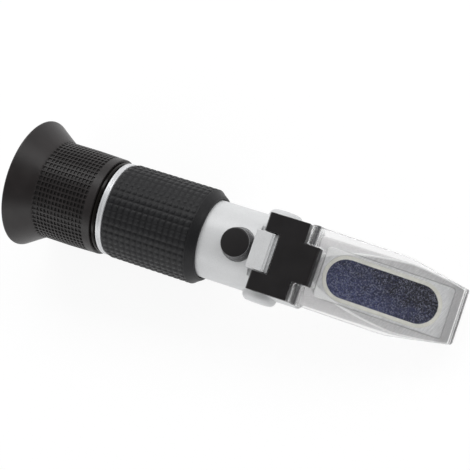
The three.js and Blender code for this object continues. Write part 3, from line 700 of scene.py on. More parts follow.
def turned_metal(name, colour, roughness, metallic, axis):
    """Bright metal from a lathe: fine lines run round the piece."""
    finish = Finish(name)
    stretch = [0.02, 0.02, 0.02]
    stretch[axis] = 1.0
    lines = finish.noise(0.22, 2.0, finish.stretched(*stretch))
    return finish.painted(
        base_color=finish.tones(lines, 0.3, 0.7, colour, 0.82, 1.08),
        metallic=metallic,
        roughness=roughness + swing(lines, 0.2) + swing(finish.noise(0.12, 2.0), 0.06),
        normal=finish.bump(lines, METAL_GRAIN),
    )


def rim_highlight_mask(finish):
    """Marks the edge between the head's round side and its cut face, where a highlight is painted."""
    x, y, z = finish.parts(finish.place)
    out = (y * y + z * z) ** 0.5
    slope = (HEAD_RADIUS - NOSE_RADIUS) / (HEAD_HIGH.x - HEAD_TAPER)
    past = finish.math("MAXIMUM", x - HEAD_TAPER / MM, 0.0)
    side = out - (HEAD_RADIUS / MM - past * slope)
    level = (x - FRONT_PIN.x / MM) * FACE_NORMAL.x + (z - FRONT_PIN.z / MM) * FACE_NORMAL.z
    depth = level - FACE_LEVEL / MM
    return finish.smooth(side, -0.5, -0.2) * finish.smooth(depth, -0.4, -0.15)


def brushed_metal(name, colour, roughness):
    """Machined metal with slanting brush lines, darker towards the nose, and a painted highlight along the rim of
    its cut face.
    """
    finish = Finish(name)
    slanted = finish.add(
        "ShaderNodeMapping", {0: finish.place, 2: (0.0, 0.0, BRUSH_ANGLE)}, vector_type="POINT",
    )
    along_lines = finish.add("ShaderNodeMapping", {0: slanted, 3: (0.05, 1.0, 1.0)})
    lines = finish.noise(0.35, 3.0, along_lines)
    wide = finish.smooth(finish.noise(2.4, 2.0, along_lines), 0.35, 0.7) * 0.3
    tone = finish.tones(lines, 0.3, 0.72, colour, 0.84, 1.1)
    broad = finish.blend(wide, tone, opaque(colour, 0.82))
    x = finish.parts(finish.place)[0]
    # The colour turns darker towards the nose.
    nose_darkening = finish.smooth(x, HEAD_HIGH.x / MM - 5.5, HEAD_HIGH.x / MM - 1.5) * 0.55
    worn = finish.blend(nose_darkening, broad, opaque(colour, 0.5))
    return finish.painted(
        # Painted highlight: near-white along the rim of the cut face.
        base_color=finish.blend(rim_highlight_mask(finish) * 0.9, worn, opaque(tint("fdfdfd"))),
        metallic=0.2,
        roughness=roughness + swing(lines, 0.2) + swing(finish.noise(0.14, 2.0), 0.08),
        normal=finish.bump(lines, BRUSH_GRAIN),
    )


def sealing_compound(colour):
    """Off-white compound, smeared a little unevenly."""
    finish = Finish("cream sealant")
    fine = finish.noise(0.35, 3.0)
    base = finish.tones(finish.noise(2.6, 3.0), 0.3, 0.7, colour, 1.0, 0.88)
    grime = finish.smooth(fine, 0.64, 0.76) * 0.3
    return finish.painted(
        base_color=finish.blend(grime, base, opaque(tint("b9b19a"))),
        roughness=0.5 + swing(fine, 0.2),
        normal=finish.bump(fine, 2 * RUBBER_GRAIN),
    )


def window_glass(deep, blue):
    """Dark blue prism glass with a speckled ground back, bluer towards the hinge."""
    finish = Finish("blue prism glass")
    x, y, z = finish.parts(finish.place)
    speckle = {"Vector": finish.place, "Scale": 1 / 0.27}
    grains = finish.parts(finish.add("ShaderNodeTexVoronoi", speckle, out="Color"))[0]
    fine = finish.noise(0.5, 3.0)
    rear = 1.0 - finish.smooth(x, GLASS_LOW.x / MM, GLASS_HIGH.x / MM)
    lower = 1.0 - finish.smooth(y, -WINDOW_HIGH.y / MM, WINDOW_HIGH.y / MM)
    mood = rear * 0.45 + lower * 0.4 + swing(finish.noise(3.2, 2.0), 0.5)
    base = finish.blend(finish.smooth(mood, 0.1, 0.75), opaque(deep), opaque(blue))
    lit = finish.blend(finish.smooth(grains, 0.6, 0.95) * 0.45, base, opaque(tint("9295a6")))
    dark = finish.smooth(1.0 - grains, 0.5, 0.8) * 0.6
    return finish.painted(
        base_color=finish.blend(dark, lit, opaque(deep, 0.4)),
        roughness=0.22 + swing(fine, 0.2),
        coat_weight=0.4,
        coat_roughness=0.05,
        normal=finish.bump(fine, 0.02 * MM),
    )


def clear_plastic(name, colour, ior, roughness, clear=0.0):
    """Clear polished plastic or glass that lets the light of the lamps through."""
    finish = Finish(name)
    body = finish.shade(
        base_color=finish.tones(finish.noise(6.0, 2.0), 0.3, 0.7, colour, 1.0, 0.97),
        roughness=roughness + finish.smooth(finish.noise(0.5, 3.0), 0.6, 0.8) * 0.04,
        ior=ior,
        transmission_weight=1.0,
    )
    passing = finish.add("ShaderNodeBsdfTransparent", {0: opaque(tint("fafbfb"))})
    shadow = finish.add("ShaderNodeLightPath", out="Is Shadow Ray")
    share = finish.math("MAXIMUM", shadow, clear)
    return finish.done(finish.add("ShaderNodeMixShader", {0: share, 1: body, 2: passing}))


def brass(colour):
    """Brass with fine turning lines, darker in patches."""
    finish = Finish("brass")
    lines = finish.noise(0.2, 2.0, finish.stretched(1.0, 0.05, 0.05))
    return finish.painted(
        base_color=finish.tones(finish.noise(3.0, 2.0), 0.3, 0.7, colour, 0.85, 1.1),
        metallic=1.0,
        roughness=0.32 + swing(lines, 0.2),
        normal=finish.bump(lines, BRUSH_GRAIN),
    )


finishes = {}


def slot_of(node):
    """The record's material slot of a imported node."""
    return next(entry["material_slot"] for entry in frame["record"]["subparts"]
                if entry["node"] == node)


# Settings

def length(name, description, default):
    return FloatProperty(
        name=name, description=description, default=default, min=0.0, unit="LENGTH", precision=5,
    )


def colour(name, description, code):
    return FloatVectorProperty(
        name=name, description=description, default=tint(code), subtype="COLOR",
        size=3, min=0.0, max=1.0,
    )


class RefractometerSizes(bpy.types.PropertyGroup):
    pit_depth: length("Pit depth", "How deep the pits of the eyecup are", 0.4 * MM)
    pit_pitch: length("Pit pitch", "Distance between pits along the eyecup", 1.265 * MM)
    pit_columns: IntProperty(
        name="Pit columns", description="Pits along the eyecup", default=14, min=1)
    pit_rows: IntProperty(
        name="Pit rows", description="Pits round the eyecup", default=60, min=3)
    bump_height: length("Bump height", "How high the bumps of the grip are", 0.33 * MM)
    bump_pitch: length("Bump pitch", "Distance between bumps along the grip", 2.03 * MM)
    bump_columns: IntProperty(
        name="Bump columns", description="Bumps along the grip", default=14, min=1)
    bump_rows: IntProperty(
        name="Bump rows", description="Bumps round the grip", default=42, min=3)
    edge_round: length("Edge rounding", "Rounding of the edges of metal and plastic", 0.16 * MM)
    groove_depth: length("Groove depth", "Depth of the fine grooves in the ring", 0.07 * MM)
    ridge_depth: length("Ridge depth", "Depth of the grooves round the cap", 0.34 * MM)


class RefractometerColours(bpy.types.PropertyGroup):
    cup: colour("Cup", "Rubber of the eyecup", "1f1b1b")
    cup_lit: colour("Cup, rubbed", "Lighter parts of the eyecup", "2a2626")
    grip: colour("Grip", "Rubber of the grip", "19191b")
    # The colour of the bump tops is a painted sheen.
    grip_lit: colour("Grip bumps", "Tops of the bumps", "232426")
    sleeve: colour("Sleeve", "Gloss black of the focus sleeve", "0f0c09")
    cap: colour("Cap", "Rubber of the screw cap", "181617")
    link: colour("Link", "Plastic of the hinge link", "181617")
    inside: colour("Inside", "Blackened inner pieces", "1d1d1e")
    silver: colour("Tube", "Satin silver of the tube and lug", "dcddde")
    steel: colour("Steel", "Trim ring and other turned steel", "dfe0e2")
    pin: colour("Pins", "Polished steel of the hinge pins", "a4a4a6")
    head: colour("Head", "Metal of the prism head", "d2d1d2")
    frame: colour("Frame", "Strip round the window", "e3e3e4")
    sealant: colour("Sealant", "Compound round the window", "e4e3da")
    window_deep: colour("Window, dark", "Dark end of the prism glass", "1d1e2c")
    window_blue: colour("Window, blue", "Blue end of the prism glass", "3f4468")
    acrylic: colour("Plate", "Clear plastic of the plate", "fdfcfc")
    glass: colour("Lens glass", "Glass of the lenses", "f2f7f7")
    brass: colour("Brass", "Screws and inner brass pieces", "b08d48")


class RefractometerStage(bpy.types.PropertyGroup):
    distance: length("Camera distance", "From the camera to the instrument's axis", 419.66 * MM)
    target: FloatVectorProperty(
        name="Camera target", description="The point that the camera looks at",
        default=(-1.166 * MM, 3.264 * MM, 15.342 * MM), subtype="TRANSLATION", unit="LENGTH")
    azimuth: FloatProperty(
        name="Azimuth", description="Camera's direction round the vertical",
        default=math.radians(-10.651), subtype="ANGLE", unit="ROTATION")
    elevation: FloatProperty(
        name="Elevation", description="Camera's height above the floor, as an angle",
        default=math.radians(66.311), subtype="ANGLE", unit="ROTATION")
    roll: FloatProperty(
        name="Roll", description="Turn of the camera about its own line of sight",
        default=math.radians(61.244), subtype="ANGLE", unit="ROTATION")
    lens: FloatProperty(
        name="Lens", description="Focal length on a 36 mm wide picture",
        default=103.4, unit="CAMERA")
    floor_half: length("Floor", "Half the width of the floor", 3.0)
    world_light: FloatProperty(
        name="World", description="Strength of the light from all sides", default=0.66, min=0.0)
    world_dip: FloatProperty(
        name="World dip", description="Share of the light missing overhead",
        default=0.72, min=0.0, max=1.0, subtype="FACTOR")
    world_lean: FloatProperty(
        name="World lean", description="Extra share of light from the left side",
        default=0.18, min=-1.0, max=1.0, subtype="FACTOR")
    lamp_light: FloatProperty(
        name="Lamps", description="Power of the larger lamp in watts",
        default=1.35, min=0.0, unit="POWER")


# Operators

class REFRACTOMETER_OT_finishes(bpy.types.Operator):
    """Makes the finishes"""
    bl_idname = "refractometer.finishes"
    bl_label = "Finishes"

    def execute(self, context):
        colours = context.scene.refractometer_colours
        finishes.update(
            cup_rubber=cup_rubber(colours.cup, colours.cup_lit),
            grip_rubber=grip_rubber(colours.grip, colours.grip_lit),
            cap_rubber=cap_rubber(colours.cap),
            gloss_black=plain_black(
                "gloss black", colours.sleeve, 0.16, 0.6, 0.002 * MM, specular=0.2),
            link_plastic=plain_black(
                "link plastic", colours.link, 0.3, 0.3, BRUSH_GRAIN, specular=0.42),
            black_metal=plain_black("black metal", colours.inside, 0.55, 0.2, BRUSH_GRAIN),
            bright_steel=turned_metal("bright steel", colours.steel, 0.36, 0.3, axis=0),
            pin_steel=turned_metal("pin steel", colours.pin, 0.16, 1.0, axis=1),
            satin_tube=blasted_metal(colours.silver, 0.48),
            satin_head=brushed_metal("satin head", colours.head, 0.34),
            brushed_frame=brushed_metal("brushed frame", colours.frame, 0.32),
            brass_parts=brass(colours.brass),
            cream_sealant=sealing_compound(colours.sealant),
            blue_glass=window_glass(colours.window_deep, colours.window_blue),
            optical_glass=clear_plastic("optical glass", colours.glass, GLASS_INDEX, 0.0),
            clear_acrylic=clear_plastic(
                "clear acrylic", colours.acrylic, ACRYLIC_INDEX, 0.02, clear=0.27),
        )
        return {"FINISHED"}


class REFRACTOMETER_OT_eyecup(bpy.types.Operator):
    """Makes the flared rubber eyecup with its waffle of pits"""
    bl_idname = "refractometer.eyecup"
    bl_label = "Eyecup"

    def execute(self, context):
        sizes = context.scene.refractometer_sizes
        rim = reach("eyecup", CUP_LOW.x, CUP_LOW.x + 3 * MM)
        neck = reach("eyecup", CUP_HIGH.x - SLACK, CUP_HIGH.x)
        neck_taper = 0.3 * MM
        neck_rear = neck + neck_taper
        rim_front = span("eyecup", rim - SLACK, rim)[1]
        flare_end = span("eyecup", neck_rear - SLACK, neck_rear + SLACK)[0]
        middle = (flare_end + CUP_HIGH.x) / 2
        first_land = 0.1
        cells = Cells(
            flare_end - first_land * sizes.pit_pitch, sizes.pit_pitch, sizes.pit_columns,
            sizes.pit_rows, -sizes.pit_depth,
            shares=(first_land, 0.22, 0.78, 0.9), sides=(0.12, 0.26), squeeze=0.55,
        )
        flare_slope = 0.35

        def neck_at(along):
            """The cup's radius at a place on its neck or just behind it."""
            if along < flare_end:
                return neck_rear + (flare_end - along) * flare_slope
            return neck_rear - (neck_rear - neck) * max(0.0, along - middle) / (CUP_HIGH.x - middle)

        steps = 14
        flare_curve = 1.06
        flare = [(rim_front + (flare_end - rim_front) * i / steps,
                  neck_rear + (rim - neck_rear) * (1 - i / steps) ** flare_curve)
                 for i in range(2, steps)]
        band_start = cells.stations[-1] + 0.5 * MM
        band = rounded([
            (band_start, neck_at(band_start), 0),
            (CUP_HIGH.x, neck, 0.25 * MM),
            (CUP_HIGH.x, neck - 1.2 * MM, 0),
        ])
        bore = SLEEVE_RADIUS + GAP
        throat = 12.6 * MM
        lip = SLEEVE_LOW.x - GAP
        inner = rounded([
            (CUP_HIGH.x, bore, 0.2 * MM),
            (lip, bore, 0.0),
            (lip, throat, 0.3 * MM),
            (lip - 1.2 * MM, throat, 0.5 * MM),
            (lip - 2.4 * MM, bore - 1.3 * MM, 1.0 * MM),
            (1.2 * MM, rim - 1.5 * MM, 0.6 * MM),
        ], loop=True)
        edge = rounded([
            (0.25 * MM, rim - 1.4 * MM, 0),
            (CUP_LOW.x, rim - 1.0 * MM, 0.3 * MM),
            (CUP_LOW.x, rim - 0.45 * MM, 0.3 * MM),
            (0.4 * MM, rim, 0.3 * MM),
            (rim_front, rim, 0.35 * MM),
            (rim_front + 0.4 * MM, rim - 0.26 * MM, 0),
        ])
        outer = edge + [point for point in flare if point[0] < cells.stations[0]]
        outer += [(along, neck_at(along)) for along in cells.stations] + band
        thing = cells.pressed("eyecup_rubber", outer + inner, finishes["cup_rubber"])
        place(thing, "focus_sleeve", "cup_rubber", "eyecup")
        return {"FINISHED"}


class REFRACTOMETER_OT_sleeve(bpy.types.Operator):
    """Makes the glossy focusing sleeve"""
    bl_idname = "refractometer.sleeve"
    bl_label = "Focus sleeve"

    def execute(self, context):
        rear, front = SLEEVE_LOW.x, SLEEVE_HIGH.x
        flange = SLEEVE_HIGH.z
        flange_rear = CUP_HIGH.x + GAP
        bore = SLEEVE_RADIUS - 1.9 * MM
        lip_bore = 9.4 * MM
        lip_front = rear + 1.7 * MM
        profile = rounded([
            (rear, lip_bore, 0.2 * MM),
            (rear, SLEEVE_RADIUS, 0.3 * MM),
            (flange_rear, SLEEVE_RADIUS, 0.0),
            (flange_rear, flange, 0.2 * MM),
            (front, flange, 0.45 * MM),
            (front, bore, 0.2 * MM),
            (lip_front, bore, 0.0),
            (lip_front, lip_bore, 0.2 * MM),
        ], loop=True)
        shape = turned(profile, even_angles(128), loop=True)
        thing = stand("focus_sleeve_gloss", shape, finishes["gloss_black"])
        place(thing, "focus_sleeve", "gloss_black", "focus_sleeve")
        return {"FINISHED"}


class REFRACTOMETER_OT_ring(bpy.types.Operator):
    """Makes the bright ring with its fine grooves"""
    bl_idname = "refractometer.ring"
    bl_label = "Trim ring"

    def execute(self, context):
        sizes = context.scene.refractometer_sizes
        out = RING_HIGH.z
        start, end = RING_LOW.x, RING_HIGH.x
        groove = 0.16 * MM
        points = [(start, TUBE_RADIUS, 0.1 * MM), (start, out, 0.22 * MM)]
        for i in (-1, 0, 1):
            at = (start + end) / 2 + i * 1.6 * groove
            points += [
                (at - groove / 2, out, 0.04 * MM),
                (at, out - sizes.groove_depth, 0.04 * MM),
                (at + groove / 2, out, 0.04 * MM),
            ]
        points += [
            (end - 0.12 * MM, out, 0.08 * MM),
            (end, out - 0.3 * MM, 0.1 * MM),
            (end, TUBE_RADIUS, 0.1 * MM),
        ]
        shape = turned(rounded(points, steps=3, loop=True), even_angles(160), loop=True)
        thing = stand("trim_ring_grooved", shape, finishes["bright_steel"])
        place(thing, "instrument", "bright_steel", "trim_ring")
        return {"FINISHED"}


class REFRACTOMETER_OT_grip(bpy.types.Operator):
    """Makes the rubber grip with its field of bumps and its smooth shoulder"""
    bl_idname = "refractometer.grip"
    bl_label = "Rubber grip"

    def execute(self, context):
        sizes = context.scene.refractometer_sizes
        start, end = GRIP_LOW.x, GRIP_HIGH.x
        bore = TUBE_RADIUS + GAP
        low = GRIP_HIGH.z - sizes.bump_height
        shoulder = end - 2.85 * MM
        field = shoulder - sizes.bump_columns * sizes.bump_pitch
        cells = Cells(
            field, sizes.bump_pitch, sizes.bump_columns, sizes.bump_rows, sizes.bump_height,
            shares=(0.05, 0.45, 0.78, 0.95), sides=(0.08, 0.24),
        )
        nose = bore + 0.9 * MM
        rear = rounded([
            (start, bore + 0.6 * MM, 0),
            (start, low, 0.15 * MM),
            (field, low, 0),
        ])
        front = rounded([
            (shoulder + 0.02 * MM, low, 0),
            (shoulder + 0.1 * MM, low + 0.3 * MM, 0.1 * MM),
            (shoulder + 0.35 * MM, low + 0.3 * MM, 0.1 * MM),
            (shoulder + 0.5 * MM, low + 0.1 * MM, 0.2 * MM),
            (end - 1.1 * MM, nose + 0.55 * MM, 0.9 * MM),
            (end, nose - 0.1 * MM, 0.35 * MM),
            (end, bore, 0),
        ], steps=6)
        profile = rear + [(along, low) for along in cells.stations] + front + [(start, bore)]
        thing = cells.pressed("grip_bumped", profile, finishes["grip_rubber"])
        place(thing, "instrument", "grip_rubber", "rubber_grip")
        return {"FINISHED"}


class REFRACTOMETER_OT_body(bpy.types.Operator):
    """Rounds the edges of the tube and the lug, and cuts grooves in the lug's nose"""
    bl_idname = "refractometer.body"
    bl_label = "Tube and lug"

    def execute(self, context):
        width = context.scene.refractometer_sizes.edge_round
        pin = FROM_ROW @ Vector(joint("link_hinge")["pos_m"])
        shape = copied("main_tube")
        # Long facets are parted on both sides of the lug, or their shading shows a faint line
        for offset in (-8.2 * MM, 3.8 * MM):
            parted(shape, (pin.x + offset, 0.0, 0.0), (1.0, 0.0, 0.0))
        tube = stand("tube_satin", shape, finishes["satin_tube"])
        place(bevelled(tube, width), "instrument", "satin_tube", "main_tube")
        lug = bevelled(stand("lug_satin", copied("hinge_lug"), finishes["satin_tube"]), width)
        nose = LUG_HIGH.x - pin.x
        cutters = []
        for degrees, radius in ((76, 0.34 * MM), (46, 0.62 * MM), (14, 0.5 * MM)):
            angle = math.radians(degrees)
            groove = turned([
                (LUG_LOW.y - MM, 0), (LUG_LOW.y - MM, radius),
                (LUG_HIGH.y + MM, radius), (LUG_HIGH.y + MM, 0),
            ], even_angles(16), axis="Y")
            groove.transform(Matrix.Translation((
                pin.x + nose * math.cos(angle), 0.0, pin.z + nose * math.sin(angle),
            )))
            cutters.append(groove)
        place(evened(cut(lug, cutters)), "instrument", "satin_tube", "hinge_lug")
        return {"FINISHED"}


class REFRACTOMETER_OT_head(bpy.types.Operator):
    """Makes the prism head: a turned piece with an oblique cut face and a pocket in it"""
    bl_idname = "refractometer.head"
    bl_label = "Prism head"

    def execute(self, context):
        width = context.scene.refractometer_sizes.edge_round
        rear, front = HEAD_LOW.x, HEAD_HIGH.x
        spigot = reach("prism_head", rear, rear + 5 * MM)
        profile = rounded([
            (rear, 0, 0),
            (rear, spigot, 0.3 * MM),
            (HEAD_SHOULDER, spigot, 0),
            (HEAD_SHOULDER, HEAD_RADIUS, 0.3 * MM),
            (HEAD_TAPER, HEAD_RADIUS, 2.5 * MM),
            (front, NOSE_RADIUS, 1.1 * MM),
            (front, 0, 0),
        ], steps=8)
        shape = sliced(
            turned(profile, even_angles(160)),
            FACE_TO_LOCAL @ Vector((0, 0, FACE_LEVEL)),
            FACE_TO_LOCAL.to_3x3() @ Vector((0, 0, 1)),
        )
        thing = stand("head_machined", shape, finishes["satin_head"])
        seam = 0.11 * MM
        corner = 1.3 * MM
        light_bore = 6.4 * MM

        def pocket_plan(spread):
            grown = seam + spread
            return rounded_box(
                FRAME_LOW.x - grown, FRAME_HIGH.x + grown, FRAME_HIGH.y + grown, corner + spread,
            )

        pocket = stack([
            (FRAME_LOW.z - GAP, pocket_plan(0.0)),
            (FACE_LEVEL - 0.5 * width, pocket_plan(0.0)),
            (ABOVE_FACE, pocket_plan(ABOVE_FACE - FACE_LEVEL + 0.5 * width)),
        ], FACE_TO_LOCAL)
        opening = sliced(
            slab(
                stadium(WINDOW_LOW.x - GAP, WINDOW_HIGH.x + GAP, WINDOW_HIGH.y + GAP),
                WINDOW_LOW.z, ABOVE_FACE, FACE_TO_LOCAL,
            ),
            Vector((0, 0, GLASS_LOW.z - GAP)),
            Vector((0, 0, -1)),
        )
        light_end = (FACE_TO_LOCAL @ Vector((WINDOW_LOW.x + WINDOW_HIGH.y, 0, FACE_LEVEL))).x
        bore = turned([
            (rear - MM, 0), (rear - MM, light_bore), (light_end, light_bore), (light_end, 0),
        ], even_angles(96))
        cut(thing, [pocket, opening, bore])
        place(evened(thing), "instrument", "satin_head", "prism_head")
        return {"FINISHED"}


class REFRACTOMETER_OT_cap(bpy.types.Operator):
    """Makes the rubber cap with grooves round its side"""
    bl_idname = "refractometer.cap"
    bl_label = "Screw cap"

    def execute(self, context):
        sizes = context.scene.refractometer_sizes
        centre = (CAP_LOW + CAP_HIGH) / 2
        base = CAP_HIGH.y
        top = base - 0.45 * MM
        low, high = CAP_LOW.z, CAP_HIGH.z
        roof = high - 1.6 * MM
        bore = 3.7 * MM
        tall = high - low
        points = [(low, bore, 0), (low, base - 0.05 * MM, 0.1 * MM),
                  (low + 0.14 * tall, base, 0.15 * MM)]
        for i in range(3):
            at = low + tall * (FIRST_RIDGE + RIDGE_PITCH * i)
            out = base + (top - base) * (at - low) / tall
            points += [
                (at - 0.16 * MM, out, 0.12 * MM),
                (at, out - sizes.ridge_depth, 0.1 * MM),
                (at + 0.2 * MM, out, 0.12 * MM),
            ]
        points += [(high, top, 0.5 * MM), (high, 0, 0)]
        profile = rounded(points, steps=4) + [(roof, 0), (roof, bore)]
        shape = turned(profile, even_angles(96), loop=True, axis="Z")
        shape.transform(Matrix.Translation((centre.x, centre.y, 0.0)))
        thing = stand("cap_ridged", shape, finishes["cap_rubber"])
        place(thing, "cap", "cap_rubber", "screw_cap")
        return {"FINISHED"}


class REFRACTOMETER_OT_hinge(bpy.types.Operator):
    """Rounds the edges of the link and makes the two pins"""
    bl_idname = "refractometer.hinge"
    bl_label = "Hinge"

    def execute(self, context):
        width = context.scene.refractometer_sizes.edge_round
        link = stand("link_moulded", copied("hinge_link"), finishes["link_plastic"])
        place(bevelled(link, 1.2 * width, 3), "link", "link_plastic", "hinge_link")
        for node in ("rear_hinge_pin", "front_hinge_pin"):
            low, high = corners(node)
            middle = (low + high) / 2
            radius = (high.x - low.x) / 2
            chamfer = 0.25 * radius
            profile = rounded([
                (low.y, 0, 0),
                (low.y, radius, chamfer),
                (high.y, radius, chamfer),
                (high.y, 0, 0),
            ])
            shape = turned(profile, even_angles(48), axis="Y")
            shape.transform(Matrix.Translation((middle.x, 0.0, middle.z)))
            pin = stand(node + "_steel", shape, finishes["pin_steel"])
            place(pin, "link", "bright_steel", node)
        return {"FINISHED"}


class REFRACTOMETER_OT_window(bpy.types.Operator):
    """Dresses the frame strip, the sealing ring and the prism glass"""
    bl_idname = "refractometer.window"
    bl_label = "Window"

    def execute(self, context):
        width = context.scene.refractometer_sizes.edge_round
        wide = 0.1 * MM
        seam = 0.02 * MM
        strip = self.plaque(
            "frame_brushed", "brushed_frame", width,
            rounded_box(FRAME_LOW.x, FRAME_HIGH.x, FRAME_HIGH.y, 1.2 * MM),
            stadium(SEALANT_LOW.x - wide, SEALANT_HIGH.x + wide, SEALANT_HIGH.y + wide),
        )
        place(strip, "instrument", "brushed_frame", "prism_frame")
        grown = wide - seam
        bead = self.plaque(
            "sealant_bead", "cream_sealant", width,
            stadium(SEALANT_LOW.x - grown, SEALANT_HIGH.x + grown, SEALANT_HIGH.y + grown),
            stadium(WINDOW_LOW.x, WINDOW_HIGH.x, WINDOW_HIGH.y + seam),
        )
        place(bead, "instrument", "cream_sealant", "prism_sealant")
        glass = stand("prism_glass", copied("main_prism"), finishes["blue_glass"])
        place(evened(glass), "instrument", "blue_glass", "main_prism")
        return {"FINISHED"}

    @staticmethod
    def plaque(name, slot, rounding, outline, opening):
        """A flat piece in the cut face with rounded upper edges and an opening through it."""
        shape = slab(outline, FRAME_LOW.z, FACE_LEVEL, FACE_TO_LOCAL)
        rim_rounded(shape, FACE_TO_LOCAL, FACE_LEVEL, rounding)
        hole = slab(opening, FRAME_LOW.z - MM, ABOVE_FACE, FACE_TO_LOCAL)
        return evened(cut(stand(name, shape, finishes[slot]), [hole]))


class REFRACTOMETER_OT_plate(bpy.types.Operator):
    """Makes the clear plate"""
    bl_idname = "refractometer.plate"
    bl_label = "Clear plate"

    def execute(self, context):
        width = context.scene.refractometer_sizes.edge_round
        thing = stand("plate_clear", copied("daylight_plate"), finishes["clear_acrylic"])
        place(bevelled(thing, 1.3 * width, 3), "plate", "clear_acrylic", "daylight_plate")
        return {"FINISHED"}


class REFRACTOMETER_OT_inside(bpy.types.Operator):
    """Gives the pieces inside the instrument their finishes"""
    bl_idname = "refractometer.inside"
    bl_label = "Inner pieces"

    def execute(self, context):
        for node, thing in NODES.items():
            if thing.hide_render:
                continue
            for entry in thing.material_slots:
                entry.material = finishes[slot_of(node)]
        return {"FINISHED"}


def camera_back(stage):
    """The direction from the instrument to the camera."""
    azimuth, elevation = stage.azimuth, stage.elevation
    return Vector((
        math.cos(elevation) * math.cos(azimuth),
        math.cos(elevation) * math.sin(azimuth),
        math.sin(elevation),
    ))


# Name, direction in the instrument's axes, size in metres and share of the lamp power
LAMPS = (
    ("upper softbox", (-0.15, 0.66, 0.68), (0.9, 0.17), 1.0),
    ("lower softbox", (-0.15, -0.92, 0.30), (0.9, 0.16), 0.6),
)


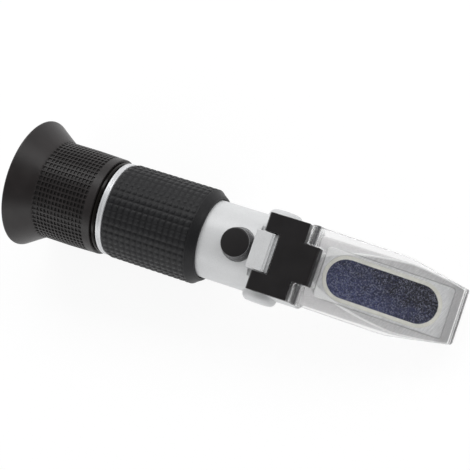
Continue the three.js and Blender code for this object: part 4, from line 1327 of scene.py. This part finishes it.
class REFRACTOMETER_OT_stage(bpy.types.Operator):
    """Sets the floor, the lamps and the camera"""
    bl_idname = "refractometer.stage"
    bl_label = "Stage"

    def execute(self, context):
        stage = context.scene.refractometer_stage
        self.make_floor(stage.floor_half)
        self.make_world(stage)
        for name, direction, size, share in LAMPS:
            self.make_lamp(name, direction, size, stage.lamp_light * share)
        self.make_camera(stage)
        context.scene.view_settings.view_transform = "Standard"
        return {"FINISHED"}

    @staticmethod
    def make_floor(half):
        """Pale paper that the camera sees lit from within, so that it is white to the edges."""
        glow_strength = 1.06
        glow_share = 0.85
        shape = bmesh.new()
        bmesh.ops.create_grid(shape, x_segments=1, y_segments=1, size=half)
        finish = Finish("white floor")
        cloud = finish.noise(300.0, 2.0)
        sheet = finish.blend(cloud, opaque(tint("f4f4f4")), opaque(tint("f0f0f1")))
        paper = finish.add("ShaderNodeBsdfDiffuse", {0: sheet})
        glow = finish.add("ShaderNodeEmission", {0: WHITE, 1: glow_strength})
        path = finish.add("ShaderNodeLightPath").socket.node.outputs
        camera, glossy, through = [
            Link(finish, path[f"Is {kind} Ray"]) for kind in ("Camera", "Glossy", "Transmission")
        ]
        shown = finish.math("MAXIMUM", finish.math("MAXIMUM", camera, glossy), through)
        surface = finish.add("ShaderNodeMixShader", {0: shown * glow_share, 1: paper, 2: glow})
        floor = stand("floor", shape, finish.done(surface))

    @staticmethod
    def make_world(stage):
        """Even light from all sides, dimmer overhead so that blacks stay black.

        The camera itself sees it white.
        """
        world = bpy.data.worlds.new("studio")
        world.use_nodes = True
        world.node_tree.nodes.clear()
        maker = Maker(world.node_tree)
        direction = maker.add("ShaderNodeTexCoord", out=0)
        x, y, z = maker.parts(direction)
        back = camera_back(stage)
        facing = x * back.x + y * back.y + z * back.z
        dip_edge, dip_middle = math.cos(math.radians(70)), math.cos(math.radians(12))
        overhead = maker.smooth(facing, dip_edge, dip_middle)
        strength = (1.0 - overhead * stage.world_dip) * (1.0 + y * stage.world_lean)
        seen = maker.add("ShaderNodeLightPath", out="Is Camera Ray")
        shown = strength * stage.world_light * (1.0 - seen) + seen
        sky = maker.add("ShaderNodeBackground", {0: WHITE, 1: shown})
        maker.add("ShaderNodeOutputWorld", {0: sky})
        bpy.context.scene.world = world

    @staticmethod
    def make_lamp(name, direction, size, power):
        """A softbox whose long side runs along the instrument."""
        distance = 0.45
        aim = FROM_ROW.to_3x3().inverted() @ Vector(direction).normalized()
        middle = TO_ROW @ Vector(((CUP_LOW.x + HEAD_HIGH.x) / 2, 0.0, 0.0))
        light = bpy.data.lights.new(name, "AREA")
        light.shape = "RECTANGLE"
        light.size, light.size_y = size
        light.energy = power
        lamp = bpy.data.objects.new(name, light)
        lamp.matrix_world = axes_at(middle + aim * distance, AXIS, aim.cross(AXIS).normalized())
        bpy.context.scene.collection.objects.link(lamp)

    @staticmethod
    def make_camera(stage):
        back = camera_back(stage)
        level = Vector((0.0, 0.0, 1.0)).cross(back).normalized()
        upright = back.cross(level)
        right = level * math.cos(stage.roll) - upright * math.sin(stage.roll)
        camera = bpy.data.objects.new("camera", bpy.data.cameras.new("camera"))
        camera.data.lens = stage.lens
        camera.data.sensor_width = PICTURE_WIDTH
        camera.data.clip_start = 0.01
        camera.matrix_world = axes_at(
            Vector(stage.target) + back * stage.distance, right, back.cross(right),
        )
        bpy.context.scene.collection.objects.link(camera)
        bpy.context.scene.camera = camera


class REFRACTOMETER_PT_panel(bpy.types.Panel):
    """Lists the steps in order"""
    bl_label = "Refractometer"
    bl_idname = "REFRACTOMETER_PT_panel"
    bl_space_type = "VIEW_3D"
    bl_region_type = "UI"
    bl_category = "Refractometer"

    def draw(self, context):
        for group in (context.scene.refractometer_sizes, context.scene.refractometer_colours,
                      context.scene.refractometer_stage):
            box = self.layout.box()
            for name in group.bl_rna.properties.keys():
                if name not in ("rna_type", "name"):
                    box.prop(group, name)
        for step in STEPS:
            self.layout.operator(step.bl_idname)


STEPS = (
    REFRACTOMETER_OT_finishes,
    REFRACTOMETER_OT_eyecup,
    REFRACTOMETER_OT_sleeve,
    REFRACTOMETER_OT_ring,
    REFRACTOMETER_OT_grip,
    REFRACTOMETER_OT_body,
    REFRACTOMETER_OT_head,
    REFRACTOMETER_OT_cap,
    REFRACTOMETER_OT_hinge,
    REFRACTOMETER_OT_window,
    REFRACTOMETER_OT_plate,
    REFRACTOMETER_OT_inside,
    REFRACTOMETER_OT_stage,
)
GROUPS = {
    "refractometer_sizes": RefractometerSizes,
    "refractometer_colours": RefractometerColours,
    "refractometer_stage": RefractometerStage,
}


def register():
    for group in GROUPS.values():
        bpy.utils.register_class(group)
    for name, group in GROUPS.items():
        setattr(bpy.types.Scene, name, PointerProperty(type=group))
    for step in STEPS:
        bpy.utils.register_class(step)
    bpy.utils.register_class(REFRACTOMETER_PT_panel)


def unregister():
    bpy.utils.unregister_class(REFRACTOMETER_PT_panel)
    for step in reversed(STEPS):
        bpy.utils.unregister_class(step)
    for name, group in GROUPS.items():
        delattr(bpy.types.Scene, name)
        bpy.utils.unregister_class(group)


def main():
    register()
    for step in STEPS:
        group, name = step.bl_idname.split(".")
        getattr(getattr(bpy.ops, group), name)()


if __name__ == "__main__":
    main()
